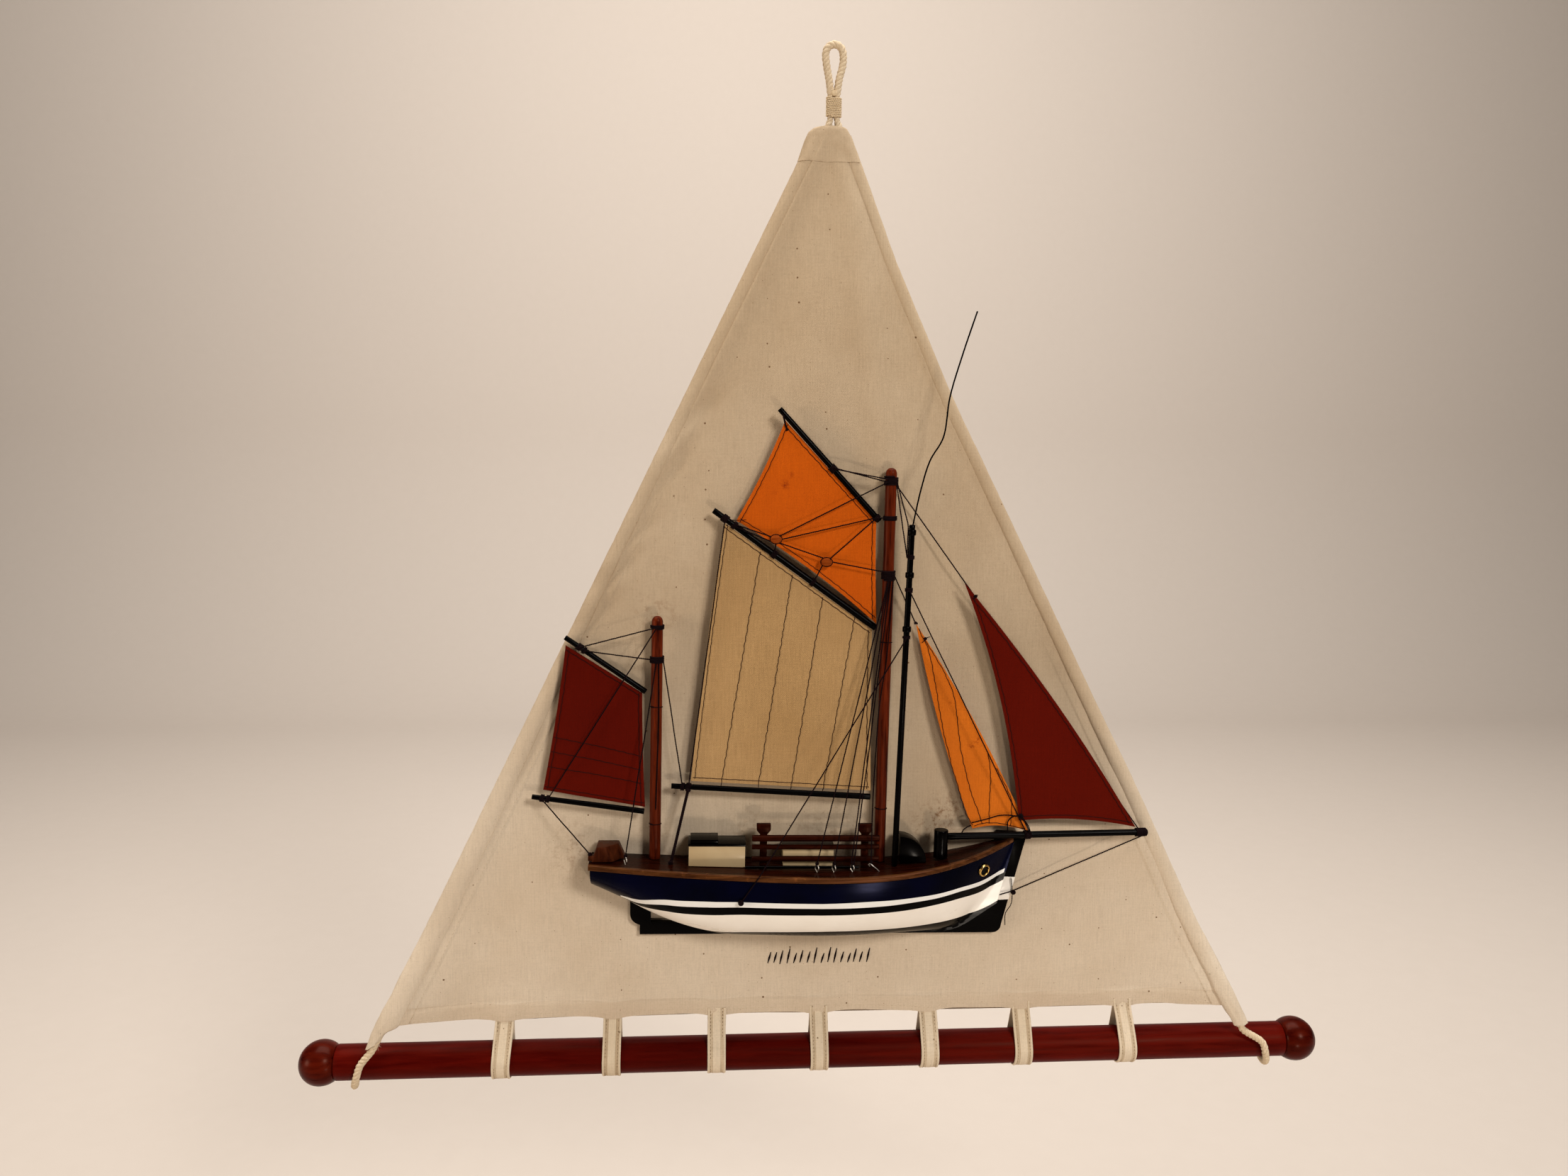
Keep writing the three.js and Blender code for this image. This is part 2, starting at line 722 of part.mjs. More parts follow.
// Deckhouse with its roof and the raised slide on it
const house = deckBlock(houseX, houseLength, furnitureBack, houseFront, houseWallTop);
put(ship, "deckhouse", whitePaint, house);
function roof() {
  const base = houseWallTop + gap;
  const panel = mappedBox(1, 1, 1, (u, v, w) => [
    lerp(houseX - roofOverhang, houseX + houseLength + roofOverhang, u),
    lerp(houseFront - roofOverhang, furnitureBack, v),
    base + w * roofThickness,
  ]);
  const slide = mappedBox(1, 1, 1, (u, v, w) => [
    houseX + slideInset + u * slideLength,
    lerp(houseFront + slideInset, furnitureBack - slideInset, v),
    lerp(base + roofThickness / 2, base + roofThickness + slideHeight, w),
  ]);
  return join([panel, slide]);
}
put(ship, "deckhouse_roof", blackPaint, roof());

// Midship hatch and its lid
const hatch = deckBlock(hatchX, hatchLength, furnitureBack, hatchFront, hatchWallTop);
put(ship, "midship_hatch", whitePaint, hatch);
const hatchLid = mappedBox(1, 1, 1, (u, v, w) => [
  lerp(hatchX - roofOverhang, hatchX + hatchLength + roofOverhang, u),
  lerp(hatchFront - roofOverhang, furnitureBack, v),
  hatchWallTop + gap + w * roofThickness,
]);
put(ship, "hatch_lid", blackPaint, hatchLid);

// Spar rack: two posts with splayed heads and three spars along their front
rackPostX.forEach((x, i) => {
  const neck = rackPostWidth / 2;
  const head = rackHeadWidth / 2;
  const shape = new THREE.Shape();
  shape.moveTo(x - neck, deckUnder(x, neck));
  shape.lineTo(x + neck, deckUnder(x, neck));
  shape.lineTo(x + neck, rackPostTop - rackHeadHeight);
  shape.lineTo(x + head, rackPostTop - rackHeadHeight * 0.6);
  shape.lineTo(x + head, rackPostTop);
  shape.lineTo(x - head, rackPostTop);
  shape.lineTo(x - head, rackPostTop - rackHeadHeight * 0.6);
  shape.lineTo(x - neck, rackPostTop - rackHeadHeight);
  shape.closePath();
  const post = plate(shape, rackPostY + rackPostDepth / 2, rackPostDepth);
  put(ship, "rack_post_" + (i + 1), deckWood, post);
});
rackSparHeights.forEach((height, i) => {
  const radius = rackSparDiameters[i] / 2;
  const y = rackPostY - rackPostDepth / 2 - gap - radius;
  const from = point(rackSparStart, y, height);
  const to = point(rackSparStart + rackSparLength, y, height);
  put(ship, "rack_spar_" + (i + 1), deckWood, bar(from, to, radius, 8));
});

// Quarter round fore hatch
function quadrant() {
  const shape = new THREE.Shape();
  const foot = deckUnder(quadrantX + quadrantRadius / 2, quadrantRadius / 2);
  shape.moveTo(quadrantX, foot);
  shape.lineTo(quadrantX + quadrantRadius, foot);
  shape.absarc(quadrantX, foot, quadrantRadius, 0, Math.PI / 2, false);
  shape.closePath();
  return plate(shape, quadrantBack, quadrantBack - quadrantFront, 9);
}
put(ship, "fore_hatch", blackPaint, quadrant());

// Bollard, and the chock at the stem head
function bollard() {
  const radius = bollardDiameter / 2;
  const round = 0.6;
  const profile = [
    [0, deckUnder(bollardX, radius)],
    [radius, deckUnder(bollardX, radius)],
    [radius, bollardTop - round],
    [radius - round, bollardTop],
    [0, bollardTop],
  ];
  return turned(profile).translate(bollardX, bollardY, 0);
}
put(ship, "bollard", blackPaint, bollard());
function chock() {
  const start = hullBow - chockLength + chockOverhang;
  const foot = deckUnder(start, 0);
  const clear = Math.max(deckUnder(hullBow - 0.5, 0), stemHeadHeight + gap);
  const shape = new THREE.Shape();
  shape.moveTo(start, foot + 1);
  shape.lineTo(start + chockLength * 0.35, clear);
  shape.lineTo(start + chockLength, clear);
  shape.lineTo(start + chockLength, chockTop - 1);
  shape.lineTo(start + 2, chockTop);
  shape.lineTo(start, chockTop - 2);
  shape.closePath();
  return plate(shape, chockBack, chockDepth);
}
put(ship, "stem_chock", blackPaint, chock());

// The hawse eyelet, flat on the hull's skin near the bow
function skinAt(x, z) {
  let low = 0;
  let high = 1;
  for (let i = 0; i < 30; i++) {
    const fall = (low + high) / 2;
    if (skin(x, fall).z > z) low = fall;
    else high = fall;
  }
  return skin(x, low);
}
function eyelet() {
  const centre = skinAt(hawseX, hawseHeight);
  const alongX = skinAt(hawseX + 2, hawseHeight).sub(skinAt(hawseX - 2, hawseHeight));
  const alongZ = skinAt(hawseX, hawseHeight + 2).sub(skinAt(hawseX, hawseHeight - 2));
  const outward = alongX.cross(alongZ).normalize();
  const wire = hawseWire / 2;
  centre.addScaledVector(outward, wire + 2 * gap);
  return ring(centre, outward, hawseDiameter / 2 - wire, wire, 14);
}
put(ship, "hawse_eyelet", brass, eyelet());

// Masts, with a rounded head
function mast(x, diameter, top) {
  const radius = diameter / 2;
  const profile = [
    [0, deckUnder(x, radius)],
    [radius, deckUnder(x, radius)],
    [radius, top - radius],
    [radius * 0.7, top - radius * 0.25],
    [0, top],
  ];
  return turned(profile, 10).translate(x, mastY, 0);
}
const mainHeadBand = mainTop - mainHeadDrop;
const mainMidBand = mainTop - mainMidDrop;
const yardBand = mainTop - yardBandDrop;
const mizzenHeadBand = mizzenTop - mizzenHeadDrop;
const mizzenMidBand = mizzenTop - mizzenMidDrop;
put(ship, "main_mast", mastWood, mast(mainX, mainDiameter, mainTop));
put(ship, "mizzen_mast", mastWood, mast(mizzenX, mizzenDiameter, mizzenTop));

// The black pole before the main mast, with three bands and the bent wire let into its top
const poleRadius = poleDiameter / 2;
const poleFoot = deckUnder(poleFootX, poleRadius);
const poleAngle = Math.atan(poleLean / (poleTop - poleFoot));
function poleAt(z) {
  return point(poleFootX + (z - poleFoot) * Math.tan(poleAngle), poleY, z);
}
function pole() {
  const length = (poleTop - poleFoot) / Math.cos(poleAngle);
  const half = poleBandHeight / 2;
  const profile = [
    [0, 0],
    [poleRadius, 0],
  ];
  for (const drop of [...poleBandDrops].reverse()) {
    const height = poleTop - drop - poleFoot;
    profile.push([poleRadius, height - half], [poleRadius + poleBandStep, height - half]);
    profile.push([poleRadius + poleBandStep, height + half], [poleRadius, height + half]);
  }
  profile.push([poleRadius, length], [0, length]);
  const staff = turned(profile, 8).rotateY(poleAngle).translate(poleFootX, poleY, poleFoot);
  const start = poleAt(poleTop - wireRoot);
  const bends = wireBends.map(([x, z]) => point(start.x + x, poleY, start.z + z));
  const section = ovalShape(wireDiameter / 2, wireDiameter / 2, threadSides);
  return join([staff, sweep(bends, section, 2)]);
}
put(ship, "pole", blackPaint, pole());

// How far the middle of a thread band's wire stands from the middle of what it goes round
function bandReach(radius, wire = bandWire) {
  return (radius + gap + wire / 2) / Math.cos(Math.PI / ringSides);
}
const mainRadius = mainDiameter / 2;
const mizzenRadius = mizzenDiameter / 2;

// A spar that leaves a mast at a height, and goes aft and up at an angle
function spar(mastX, mastRadius, height, angle, length, diameter) {
  const heel = point(mastX - bandReach(mastRadius) - bandWire / 2 - gap, mastY, height);
  const along = point(-Math.cos(angle), 0, Math.sin(angle));
  const up = point(Math.sin(angle), 0, Math.cos(angle));
  const radius = diameter / 2;
  const at = (distance, rise = 0) =>
    heel.clone().addScaledVector(along, distance).addScaledVector(up, rise);
  return { at, up, radius, length };
}
const mainGaff = spar(mainX, mainRadius, mainGaffHeight, mainGaffPeak, mainGaffLength, mainGaffDiameter);
const mainBoomLength = mainX - mizzenX - mizzenClearance;
const mainBoom = spar(mainX, mainRadius, mainBoomHeight, mainBoomPeak, mainBoomLength, mainBoomDiameter);
const yard = spar(mainX, mainRadius, mainTop - yardDrop, yardPeak, yardLength, yardDiameter);
const mizzenGaff = spar(
  mizzenX,
  mizzenRadius,
  mizzenGaffHeight,
  mizzenGaffPeak,
  mizzenGaffLength,
  mizzenGaffDiameter,
);
const mizzenBoom = spar(
  mizzenX,
  mizzenRadius,
  mizzenBoomHeight,
  mizzenBoomPeak,
  mizzenBoomLength,
  mizzenBoomDiameter,
);
function sparGeometry(one) {
  const heel = one.at(one.radius * 0.8);
  return bar(heel, one.at(one.length), one.radius, 8, one.radius * 0.86);
}
put(ship, "main_gaff", blackPaint, sparGeometry(mainGaff));
put(ship, "main_boom", blackPaint, sparGeometry(mainBoom));
put(ship, "topsail_yard", blackPaint, sparGeometry(yard));
put(ship, "mizzen_gaff", blackPaint, sparGeometry(mizzenGaff));
put(ship, "mizzen_boom", blackPaint, sparGeometry(mizzenBoom));
const bowspritRadius = bowspritDiameter / 2;
const bowspritHeel = point(bollardX + bollardDiameter / 2 + gap, bowspritInnerY, bowspritHeight);
const bowspritTip = point(bowspritEndX, mastY, bowspritHeight + bowspritRise);
const bowspritAt = (part) => bowspritHeel.clone().lerp(bowspritTip, part);
put(ship, "bowsprit", blackPaint, bar(bowspritHeel, bowspritTip, bowspritRadius, 8, bowspritRadius * 0.9));

// Sails: corners in order, each edge bowed in or out, as flat cloth
function sail(corners, bows, y = sailY) {
  const shape = new THREE.Shape();
  shape.moveTo(corners[0].x, corners[0].z);
  corners.forEach((from, i) => {
    const to = corners[(i + 1) % corners.length];
    const middle = from.clone().add(to).multiplyScalar(0.5);
    const along = to.clone().sub(from).normalize();
    const bow = 2 * bows[i];
    shape.quadraticCurveTo(middle.x + along.z * bow, middle.z - along.x * bow, to.x, to.z);
  });
  return plate(shape, y + sailThickness / 2, sailThickness, 5);
}
const below = (one) => -(one.radius + gap);
const mainsail = [
  mainGaff.at(heelInset, below(mainGaff)),
  mainBoom.at(tackInset, footLift),
  mainBoom.at(mainBoomLength - mainClewInset, footLift),
  mainGaff.at(mainGaffLength - mainPeakInset, below(mainGaff)),
];
put(ship, "mainsail", linenCloth, sail(mainsail, [0.5, 0, -0.8, 0]));
const topsail = [
  yard.at(heelInset, below(yard)),
  mainGaff.at(heelInset, -below(mainGaff)),
  mainGaff.at(mainGaffLength - topsailClewInset, topsailClewLift),
  yard.at(yardLength - topsailHeadInset, -headHang),
];
put(ship, "topsail", orangeCloth, sail(topsail, [0.5, 0, 1.5, 0]));
const mizzenSail = [
  mizzenGaff.at(heelInset, below(mizzenGaff)),
  mizzenBoom.at(tackInset, footLift - 1.2),
  mizzenBoom.at(mizzenBoomLength - mizzenClewInset, footLift + 1.6),
  mizzenGaff.at(mizzenGaffLength - mizzenPeakInset, -headHang),
];
put(ship, "mizzen_sail", redCloth, sail(mizzenSail, [0.5, 0, 1, 0]));
const corner = ([x, z]) => point(x, sailY, z);
const jibTack = [bowspritEndX - jibTackInset, jibTackHeight];
const jib = [jibHead, jibTack, jibClew].map(corner);
put(ship, "jib", redCloth, sail(jib, [-4.4, 3.4, 6.5], jibY));
const staysail = [staysailHead, staysailTack, staysailClew].map(corner);
put(ship, "staysail", orangeCloth, sail(staysail, [-2.4, 1, -1]));

// Thread bands right round a mast or the pole, and ties over the front of a spar
function mastBand(x, radius, height) {
  return ring(point(x, mastY, height), point(0, 0, 1), bandReach(radius), bandWire / 2);
}
function bandFront(x, radius, height) {
  return point(x, mastY - bandReach(radius), height);
}
function bandRight(x, radius, height) {
  return point(x + bandReach(radius), mastY, height);
}
function bandBack(x, radius, height) {
  const corner = bandReach(radius) * Math.SQRT1_2;
  return point(x + corner, mastY + corner, height);
}
const thread = threadDiameter / 2;
const poleReach = bandReach(poleRadius, threadDiameter);
function poleBand(height) {
  return ring(poleAt(height), point(Math.tan(poleAngle), 0, 1), poleReach, thread);
}
const front = point(0, -1, 0);
function tie(centre, up, radius) {
  const reach = bandReach(radius, threadDiameter);
  const arc = [];
  for (let i = 0; i <= 4; i++) {
    const angle = (i * Math.PI) / 4;
    const place = centre.clone().addScaledVector(up, reach * Math.cos(angle));
    arc.push(place.addScaledVector(front, reach * Math.sin(angle)));
  }
  return sweep(arc, ovalShape(thread, thread, threadSides), 1);
}
function sparTie(one, part) {
  return tie(one.at(part * one.length), one.up, one.radius);
}
function tieFront(one, part, up = 0) {
  const reach = bandReach(one.radius, threadDiameter) * 0.94;
  return one.at(part * one.length, up).addScaledVector(front, reach);
}
const line = (from, to, radius = thread) => bar(from, to, radius);

// Two blocks over the main gaff, each in a thread strop
function blockOval(margin) {
  return ovalShape(blockLength / 2 + margin, blockHeight / 2 + margin, 10);
}
const strops = blockPlaces.map(([x, z], i) => {
  const body = plate(blockOval(0), blockThickness / 2, blockThickness);
  put(ship, "peak_block_" + (i + 1), blockWood, body.translate(x, blockY, z));
  const band = blockOval(gap + threadDiameter);
  band.holes.push(blockOval(gap));
  return plate(band, thread, threadDiameter).translate(x, blockY, z);
});
function stropPoint(i, angle) {
  const margin = gap + thread;
  const x = blockPlaces[i][0] + (blockLength / 2 + margin) * Math.cos(angle);
  return point(x, blockY, blockPlaces[i][1] + (blockHeight / 2 + margin) * Math.sin(angle));
}

// Lines of the main gaff and the topsail yard
const headFront = bandFront(mainX, mainRadius, mainHeadBand);
const peakMid = bandFront(mainX, mainRadius, mainMidBand + bandPitch);
put(
  ship,
  "peak_lines",
  blackThread,
  join([
    ...strops,
    mastBand(mainX, mainRadius, mainHeadBand),
    line(headFront, stropPoint(0, 0.8)),
    mastBand(mainX, mainRadius, yardBand),
    line(bandFront(mainX, mainRadius, yardBand), tieFront(yard, yardTies[0])),
    sparTie(yard, yardTies[0]),
    line(tieFront(yard, yardTies[0]), stropPoint(0, 0)),
    line(tieFront(yard, yardTies[0]), stropPoint(1, 0.9)),
    sparTie(yard, yardTies[1]),
    line(headFront, tieFront(yard, yardTies[1])),
    line(stropPoint(0, -0.9), stropPoint(1, 2.2)),
    line(stropPoint(0, 2.6), tieFront(mainGaff, gaffTies[2], 0.9)),
    line(stropPoint(0, 3.6), tieFront(mainGaff, gaffTies[2], -0.4)),
    sparTie(mainGaff, gaffTies[2]),
    line(stropPoint(0, -1.6), tieFront(mainGaff, gaffTies[1])),
    sparTie(mainGaff, gaffTies[1]),
    line(stropPoint(1, -2.3), tieFront(mainGaff, gaffTies[0])),
    sparTie(mainGaff, gaffTies[0]),
    line(stropPoint(1, 0), peakMid),
    mastBand(mainX, mainRadius, mainMidBand + bandPitch),
  ]),
);

// Topping lift from the gaff to the boom, and the thick main sheet from the boom to the deck
const sheetRadius = sheetDiameter / 2;
const sheetEnd = point(sheetFoot[0], sheetFoot[1], deckUnder(sheetFoot[0], sheetRadius));
put(
  ship,
  "boom_lines",
  blackThread,
  join([
    sparTie(mainGaff, gaffTies[3]),
    sparTie(mainBoom, boomTies[0]),
    line(tieFront(mainGaff, gaffTies[3]), tieFront(mainBoom, boomTies[0])),
    line(tieFront(mainBoom, boomTies[0], -1), sheetEnd, sheetRadius),
  ]),
);

// Main shrouds, to screw eyes in the deck, and the staysail's halyard from the same band
function deckEye(x, y) {
  const wire = deckEyeWire / 2;
  const radius = deckEyeDiameter / 2 - wire;
  return ring(point(x, y, deckUnder(x, wire) + radius + wire), point(1, eyeTurn, 0), radius, wire);
}
function eyeTop(x, y) {
  return point(x, y, deckUnder(x, deckEyeDiameter / 2) + deckEyeDiameter + gap + thread);
}
const beforeSail = sailY - sailThickness / 2 - gap - thread;
const staysailPeak = point(staysailHead[0] - 1, beforeSail, staysailHead[1] + 1.5);
const lastEyeX = deckEyeX[deckEyeX.length - 1];
const shroudFeet = [
  ...deckEyeX.slice(0, -1),
  lastEyeX - shroudSpread,
  lastEyeX + shroudSpread,
  lastShroudX,
];
deckEyeX.forEach((x, i) => put(ship, "deck_eye_" + (i + 1), steel, deckEye(x, deckEyeY)));
const mizzenEyeX = mizzenX - mizzenEyeSetback;
put(ship, "mizzen_deck_eye", steel, deckEye(mizzenEyeX, mizzenEyeY));
put(
  ship,
  "main_shrouds",
  blackThread,
  join([
    mastBand(mainX, mainRadius, mainMidBand),
    ...shroudFeet.map((x) => line(bandFront(mainX, mainRadius, mainMidBand), eyeTop(x, deckEyeY))),
    line(bandRight(mainX, mainRadius, mainMidBand), staysailPeak),
  ]),
);

// Stays down to the bowsprit, with two halyards from the mast head to the pole, and the bobstay
const upright = point(0, 0, 1);
function bowspritTie(x) {
  return tie(bowspritAt(x), upright, bowspritRadius);
}
function bowspritEdge(x, up, forward) {
  const reach = bandReach(bowspritRadius, threadDiameter);
  return bowspritAt(x).add(point(0, -forward * reach, up * reach));
}
const stayBand = mainHeadBand - bandPitch;
const stayStart = bandFront(mainX, mainRadius, stayBand);
const poleLeft = poleAt(poleTop - poleTieDrops[0]).add(point(-poleReach, 0, 0));
put(
  ship,
  "head_stays",
  blackThread,
  join([
    mastBand(mainX, mainRadius, stayBand),
    line(bandBack(mainX, mainRadius, stayBand), bowspritEdge(bowspritTies[2], 1, 0)),
    bowspritTie(bowspritTies[2]),
    line(bandRight(mainX, mainRadius, stayBand), poleLeft),
    line(stayStart, poleLeft),
    poleBand(poleTop - poleTieDrops[0]),
  ]),
);
const poleStayStart = poleAt(poleTop - poleTieDrops[1]).add(point(0, -poleReach, 0));
put(
  ship,
  "pole_stay",
  blackThread,
  join([
    poleBand(poleTop - poleTieDrops[1]),
    line(poleStayStart, bowspritEdge(bowspritTies[0], 0, 0.94)),
    bowspritTie(bowspritTies[0]),
  ]),
);
const knot = knotDiameter / 2;
const bobstayEnd = point(bobstayFoot[0], boardFront - gap - knot, bobstayFoot[1]);
put(
  ship,
  "bobstay",
  blackThread,
  join([
    bowspritTie(bowspritTies[1]),
    line(bowspritEdge(bowspritTies[1], -1, 0), bobstayEnd),
    new THREE.OctahedronGeometry(knot, 0).translate(...bobstayEnd.toArray()),
  ]),
);

// The long fall from the pole, over the deck edge to a knot on the hull's side
const fallStart = poleAt(poleTop - poleTieDrops[2]).add(point(0, -poleReach, 0));
const fallEdgeY = -halfBreadth(fallEdgeX) - deckOverhang - gap - thread;
const fallEdge = point(fallEdgeX, fallEdgeY, deckTop(fallEdgeX));
const fallEnd = skinAt(fallFoot[0], fallFoot[1]).add(point(0, -gap - knot - deckOverhang, 0));
put(
  ship,
  "long_fall",
  blackThread,
  join([
    poleBand(poleTop - poleTieDrops[2]),
    line(fallStart, fallEdge),
    line(fallEdge, fallEnd),
    new THREE.OctahedronGeometry(knot, 0).translate(...fallEnd.toArray()),
    new THREE.OctahedronGeometry(thread, 0).translate(...fallEdge.toArray()),
  ]),
);

// Mizzen lines: lift, sheet, shroud and peak lines
const mizzenHead = bandFront(mizzenX, mizzenRadius, mizzenHeadBand);
const mizzenMid = bandFront(mizzenX, mizzenRadius, mizzenMidBand);
const mizzenSheetEnd = point(cleatX, cleatY, cleatTop + gap + thread);
const mizzenStayStart = bandRight(mizzenX, mizzenRadius, mizzenMidBand);
put(
  ship,
  "mizzen_lines",
  blackThread,
  join([
    mastBand(mizzenX, mizzenRadius, mizzenHeadBand),
    mastBand(mizzenX, mizzenRadius, mizzenMidBand),
    ...mizzenGaffTies.map((part) => sparTie(mizzenGaff, part)),
    ...mizzenBoomTies.map((part) => sparTie(mizzenBoom, part)),
    line(mizzenHead, tieFront(mizzenGaff, mizzenGaffTies[1])),
    line(mizzenMid, tieFront(mizzenGaff, mizzenGaffTies[0])),
    line(mizzenHead, tieFront(mizzenBoom, mizzenBoomTies[0])),
    line(tieFront(mizzenGaff, mizzenGaffTies[1]), tieFront(mizzenGaff, mizzenGaffTies[0])),
    line(tieFront(mizzenBoom, mizzenBoomTies[0]), tieFront(mizzenBoom, mizzenBoomTies[1])),
    line(tieFront(mizzenBoom, mizzenBoomTies[1]), mizzenSheetEnd),
    line(mizzenMid, eyeTop(mizzenEyeX, mizzenEyeY)),
    line(mizzenStayStart, tieFront(mainBoom, boomTies[1])),
    sparTie(mainBoom, boomTies[1]),
  ]),
);

// The black sill rod along the deck before the rack
function sill() {
  const radius = sillDiameter / 2;
  const foot = Math.max(deckUnder(sillX[0], 0), deckUnder(sillX[1], 0)) + radius;
  return bar(point(sillX[0], sillY, foot), point(sillX[1], sillY, foot), radius, 6);
}
put(ship, "rack_sill", blackPaint, sill());

export default model;
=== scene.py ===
import math

import bmesh
import bpy
import numpy as np
from mathutils import Matrix, Vector, noise


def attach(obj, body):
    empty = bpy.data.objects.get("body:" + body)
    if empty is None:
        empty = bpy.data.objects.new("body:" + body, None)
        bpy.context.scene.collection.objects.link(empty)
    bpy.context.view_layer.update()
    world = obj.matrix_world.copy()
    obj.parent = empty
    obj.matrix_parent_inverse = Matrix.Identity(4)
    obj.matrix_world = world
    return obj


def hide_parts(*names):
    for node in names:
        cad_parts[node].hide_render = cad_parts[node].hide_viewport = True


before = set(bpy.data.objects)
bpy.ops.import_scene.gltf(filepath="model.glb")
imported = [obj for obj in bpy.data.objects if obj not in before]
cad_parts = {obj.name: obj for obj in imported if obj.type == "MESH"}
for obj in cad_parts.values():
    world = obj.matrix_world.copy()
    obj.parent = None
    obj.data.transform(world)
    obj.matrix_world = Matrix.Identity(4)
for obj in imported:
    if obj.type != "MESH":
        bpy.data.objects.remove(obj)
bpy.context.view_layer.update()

# Sizes are in millimetres up to the mesh, in the frame of the CAD model: +X to the viewer's right,
# +Y back to the wall, +Z up, the origin where a hook bears in the rope eye.
MM = 0.001
# Between pieces that are glued, sewn or tied to each other
GAP = 0.3


def lerp(a, b, t):
    return a + (b - a) * t


def smooth(x, low, high):
    t = min(1.0, max(0.0, (x - low) / (high - low)))
    return t * t * (3 - 2 * t)


def bell(x, wide):
    """1 at 0, falling off on both sides."""
    return math.exp(-((x / wide) ** 2))


def unit(v):
    v = np.asarray(v, float)
    return v / max(np.linalg.norm(v), 1e-12)


def wobble(x, y=0.0, z=0.0):
    """Smooth noise between about -1 and 1."""
    return noise.noise(Vector((x, y, z)))


def circle(count):
    """The angles of so many points round a circle."""
    return [i * 2 * math.pi / count for i in range(count)]


def put(name, data):
    """A new object in the scene."""
    made = bpy.data.objects.new(name, data)
    bpy.context.scene.collection.objects.link(made)
    return made


# Camera: the photograph's point of view. A lens of 27 mm on a 36 mm frame gives its perspective.
CAMERA_PLACE = (-0.0883, -0.8238, -0.2752)
PAN, PITCH, ROLL = -4.0, -6.25, -0.54
SENSOR_WIDTH, LENS, NEAR_CLIP = 36, 27.03, 0.01
camera = put("camera", bpy.data.cameras.new("camera"))
turn = Matrix.Identity(3)
for degrees, axis in ((PAN, "Z"), (PITCH, "X"), (ROLL, "Y")):
    turn = turn @ Matrix.Rotation(math.radians(degrees), 3, axis)
right, forward, up = (turn.col[i] for i in range(3))
aim = Matrix((right, up, -forward)).transposed().to_4x4()
camera.matrix_world = Matrix.Translation(CAMERA_PLACE) @ aim
camera.data.sensor_width = SENSOR_WIDTH
camera.data.lens = LENS
camera.data.clip_start = NEAR_CLIP
bpy.context.scene.camera = camera


# Points closer than this, in metres, become one
MERGE = 1e-7
# Edges with a sharper angle are bevelled, where a piece has a bevel
HARD_EDGE = math.radians(30)
# A strand's radius, against the thickness of its rope
STRAND = 0.27


class Shape:
    """Points and faces of one piece, each face with the number of its material."""

    def __init__(self):
        self.points, self.faces, self.paint = [], [], []

    def add(self, points, faces, paint=None):
        base = len(self.points)
        self.points.extend(tuple(float(c) for c in p) for p in points)
        self.faces.extend(tuple(int(i) + base for i in f) for f in faces)
        self.paint.extend(paint or [0] * len(faces))

    def mesh(self, name, materials):
        made = bpy.data.meshes.new(name)
        made.from_pydata((np.array(self.points) * MM).tolist(), [], self.faces)
        for material in materials:
            made.materials.append(material)
        made.polygons.foreach_set("material_index", self.paint)
        return made


def loft(rings, closed=True, caps=True):
    """Points and faces through rings of the same count, each ring a closed or open row."""
    rings = np.asarray(rings, float)
    n, m = rings.shape[:2]
    faces = []
    for i in range(n - 1):
        for j in range(m if closed else m - 1):
            k = (j + 1) % m
            faces.append((i * m + j, i * m + k, (i + 1) * m + k, (i + 1) * m + j))
    if caps and closed:
        faces.append(tuple(range(m - 1, -1, -1)))
        faces.append(tuple(range((n - 1) * m, n * m)))
    return rings.reshape(-1, 3), faces


def hollow(outer, inner):
    """A tube with a wall, open at both ends, from its outer and inner rings."""
    return loft([*outer, *inner[::-1], outer[0]], True, False)


def painted(rings, mark, ends):
    """A loft with the material of each face told by its row and its place in the ring."""
    points, faces = loft(rings)
    size = len(rings[0])
    return points, faces, [mark(*divmod(k, size)) for k in range(len(faces) - 2)] + list(ends)


def route(points, step):
    """The smooth curve through the points, as the CAD model's sweeps have it, at an even step."""
    p = np.asarray(points, float)
    p = np.vstack([2 * p[0] - p[1], p, 2 * p[-1] - p[-2]])
    fine = []
    for i in range(1, len(p) - 2):
        a, b, c, d = p[i - 1 : i + 3]
        ta, tb, tc = [max(np.linalg.norm(q - r), 1e-6) ** 0.5 for q, r in ((b, a), (c, b), (d, c))]
        m1 = ((b - a) / ta - (c - a) / (ta + tb) + (c - b) / tb) * tb
        m2 = ((c - b) / tb - (d - b) / (tb + tc) + (d - c) / tc) * tb
        square, cube = 3 * (c - b) - 2 * m1 - m2, -2 * (c - b) + m1 + m2
        count = max(2, int(np.linalg.norm(c - b) / step * 2))
        fine.extend(b + m1 * t + square * t**2 + cube * t**3 for t in np.arange(count) / count)
    fine.append(p[-2])
    return spaced(fine, step)


def spaced(points, step):
    p = np.asarray(points, float)
    s = np.concatenate([[0], np.cumsum(np.linalg.norm(np.diff(p, axis=0), axis=1))])
    at = np.linspace(0, s[-1], max(2, int(round(s[-1] / step)) + 1))
    return np.stack([np.interp(at, s, p[:, i]) for i in range(3)], 1)


def frames(points):
    """For each point of a line, two directions across it that turn as little as they can."""
    p = np.asarray(points, float)
    along = np.gradient(p, axis=0)
    along /= np.linalg.norm(along, axis=1)[:, None] + 1e-12
    side = square_to(along[0])[0]
    sides, others = [], []
    for t in along:
        side = unit(side - t * side.dot(t))
        sides.append(side)
        others.append(np.cross(t, side))
    return np.array(sides), np.array(others)


def square_to(axis):
    """Two directions across an axis."""
    a = unit(np.cross(axis, (0, 1, 0) if abs(axis[1]) < 0.9 else (1, 0, 0)))
    return a, np.cross(axis, a)


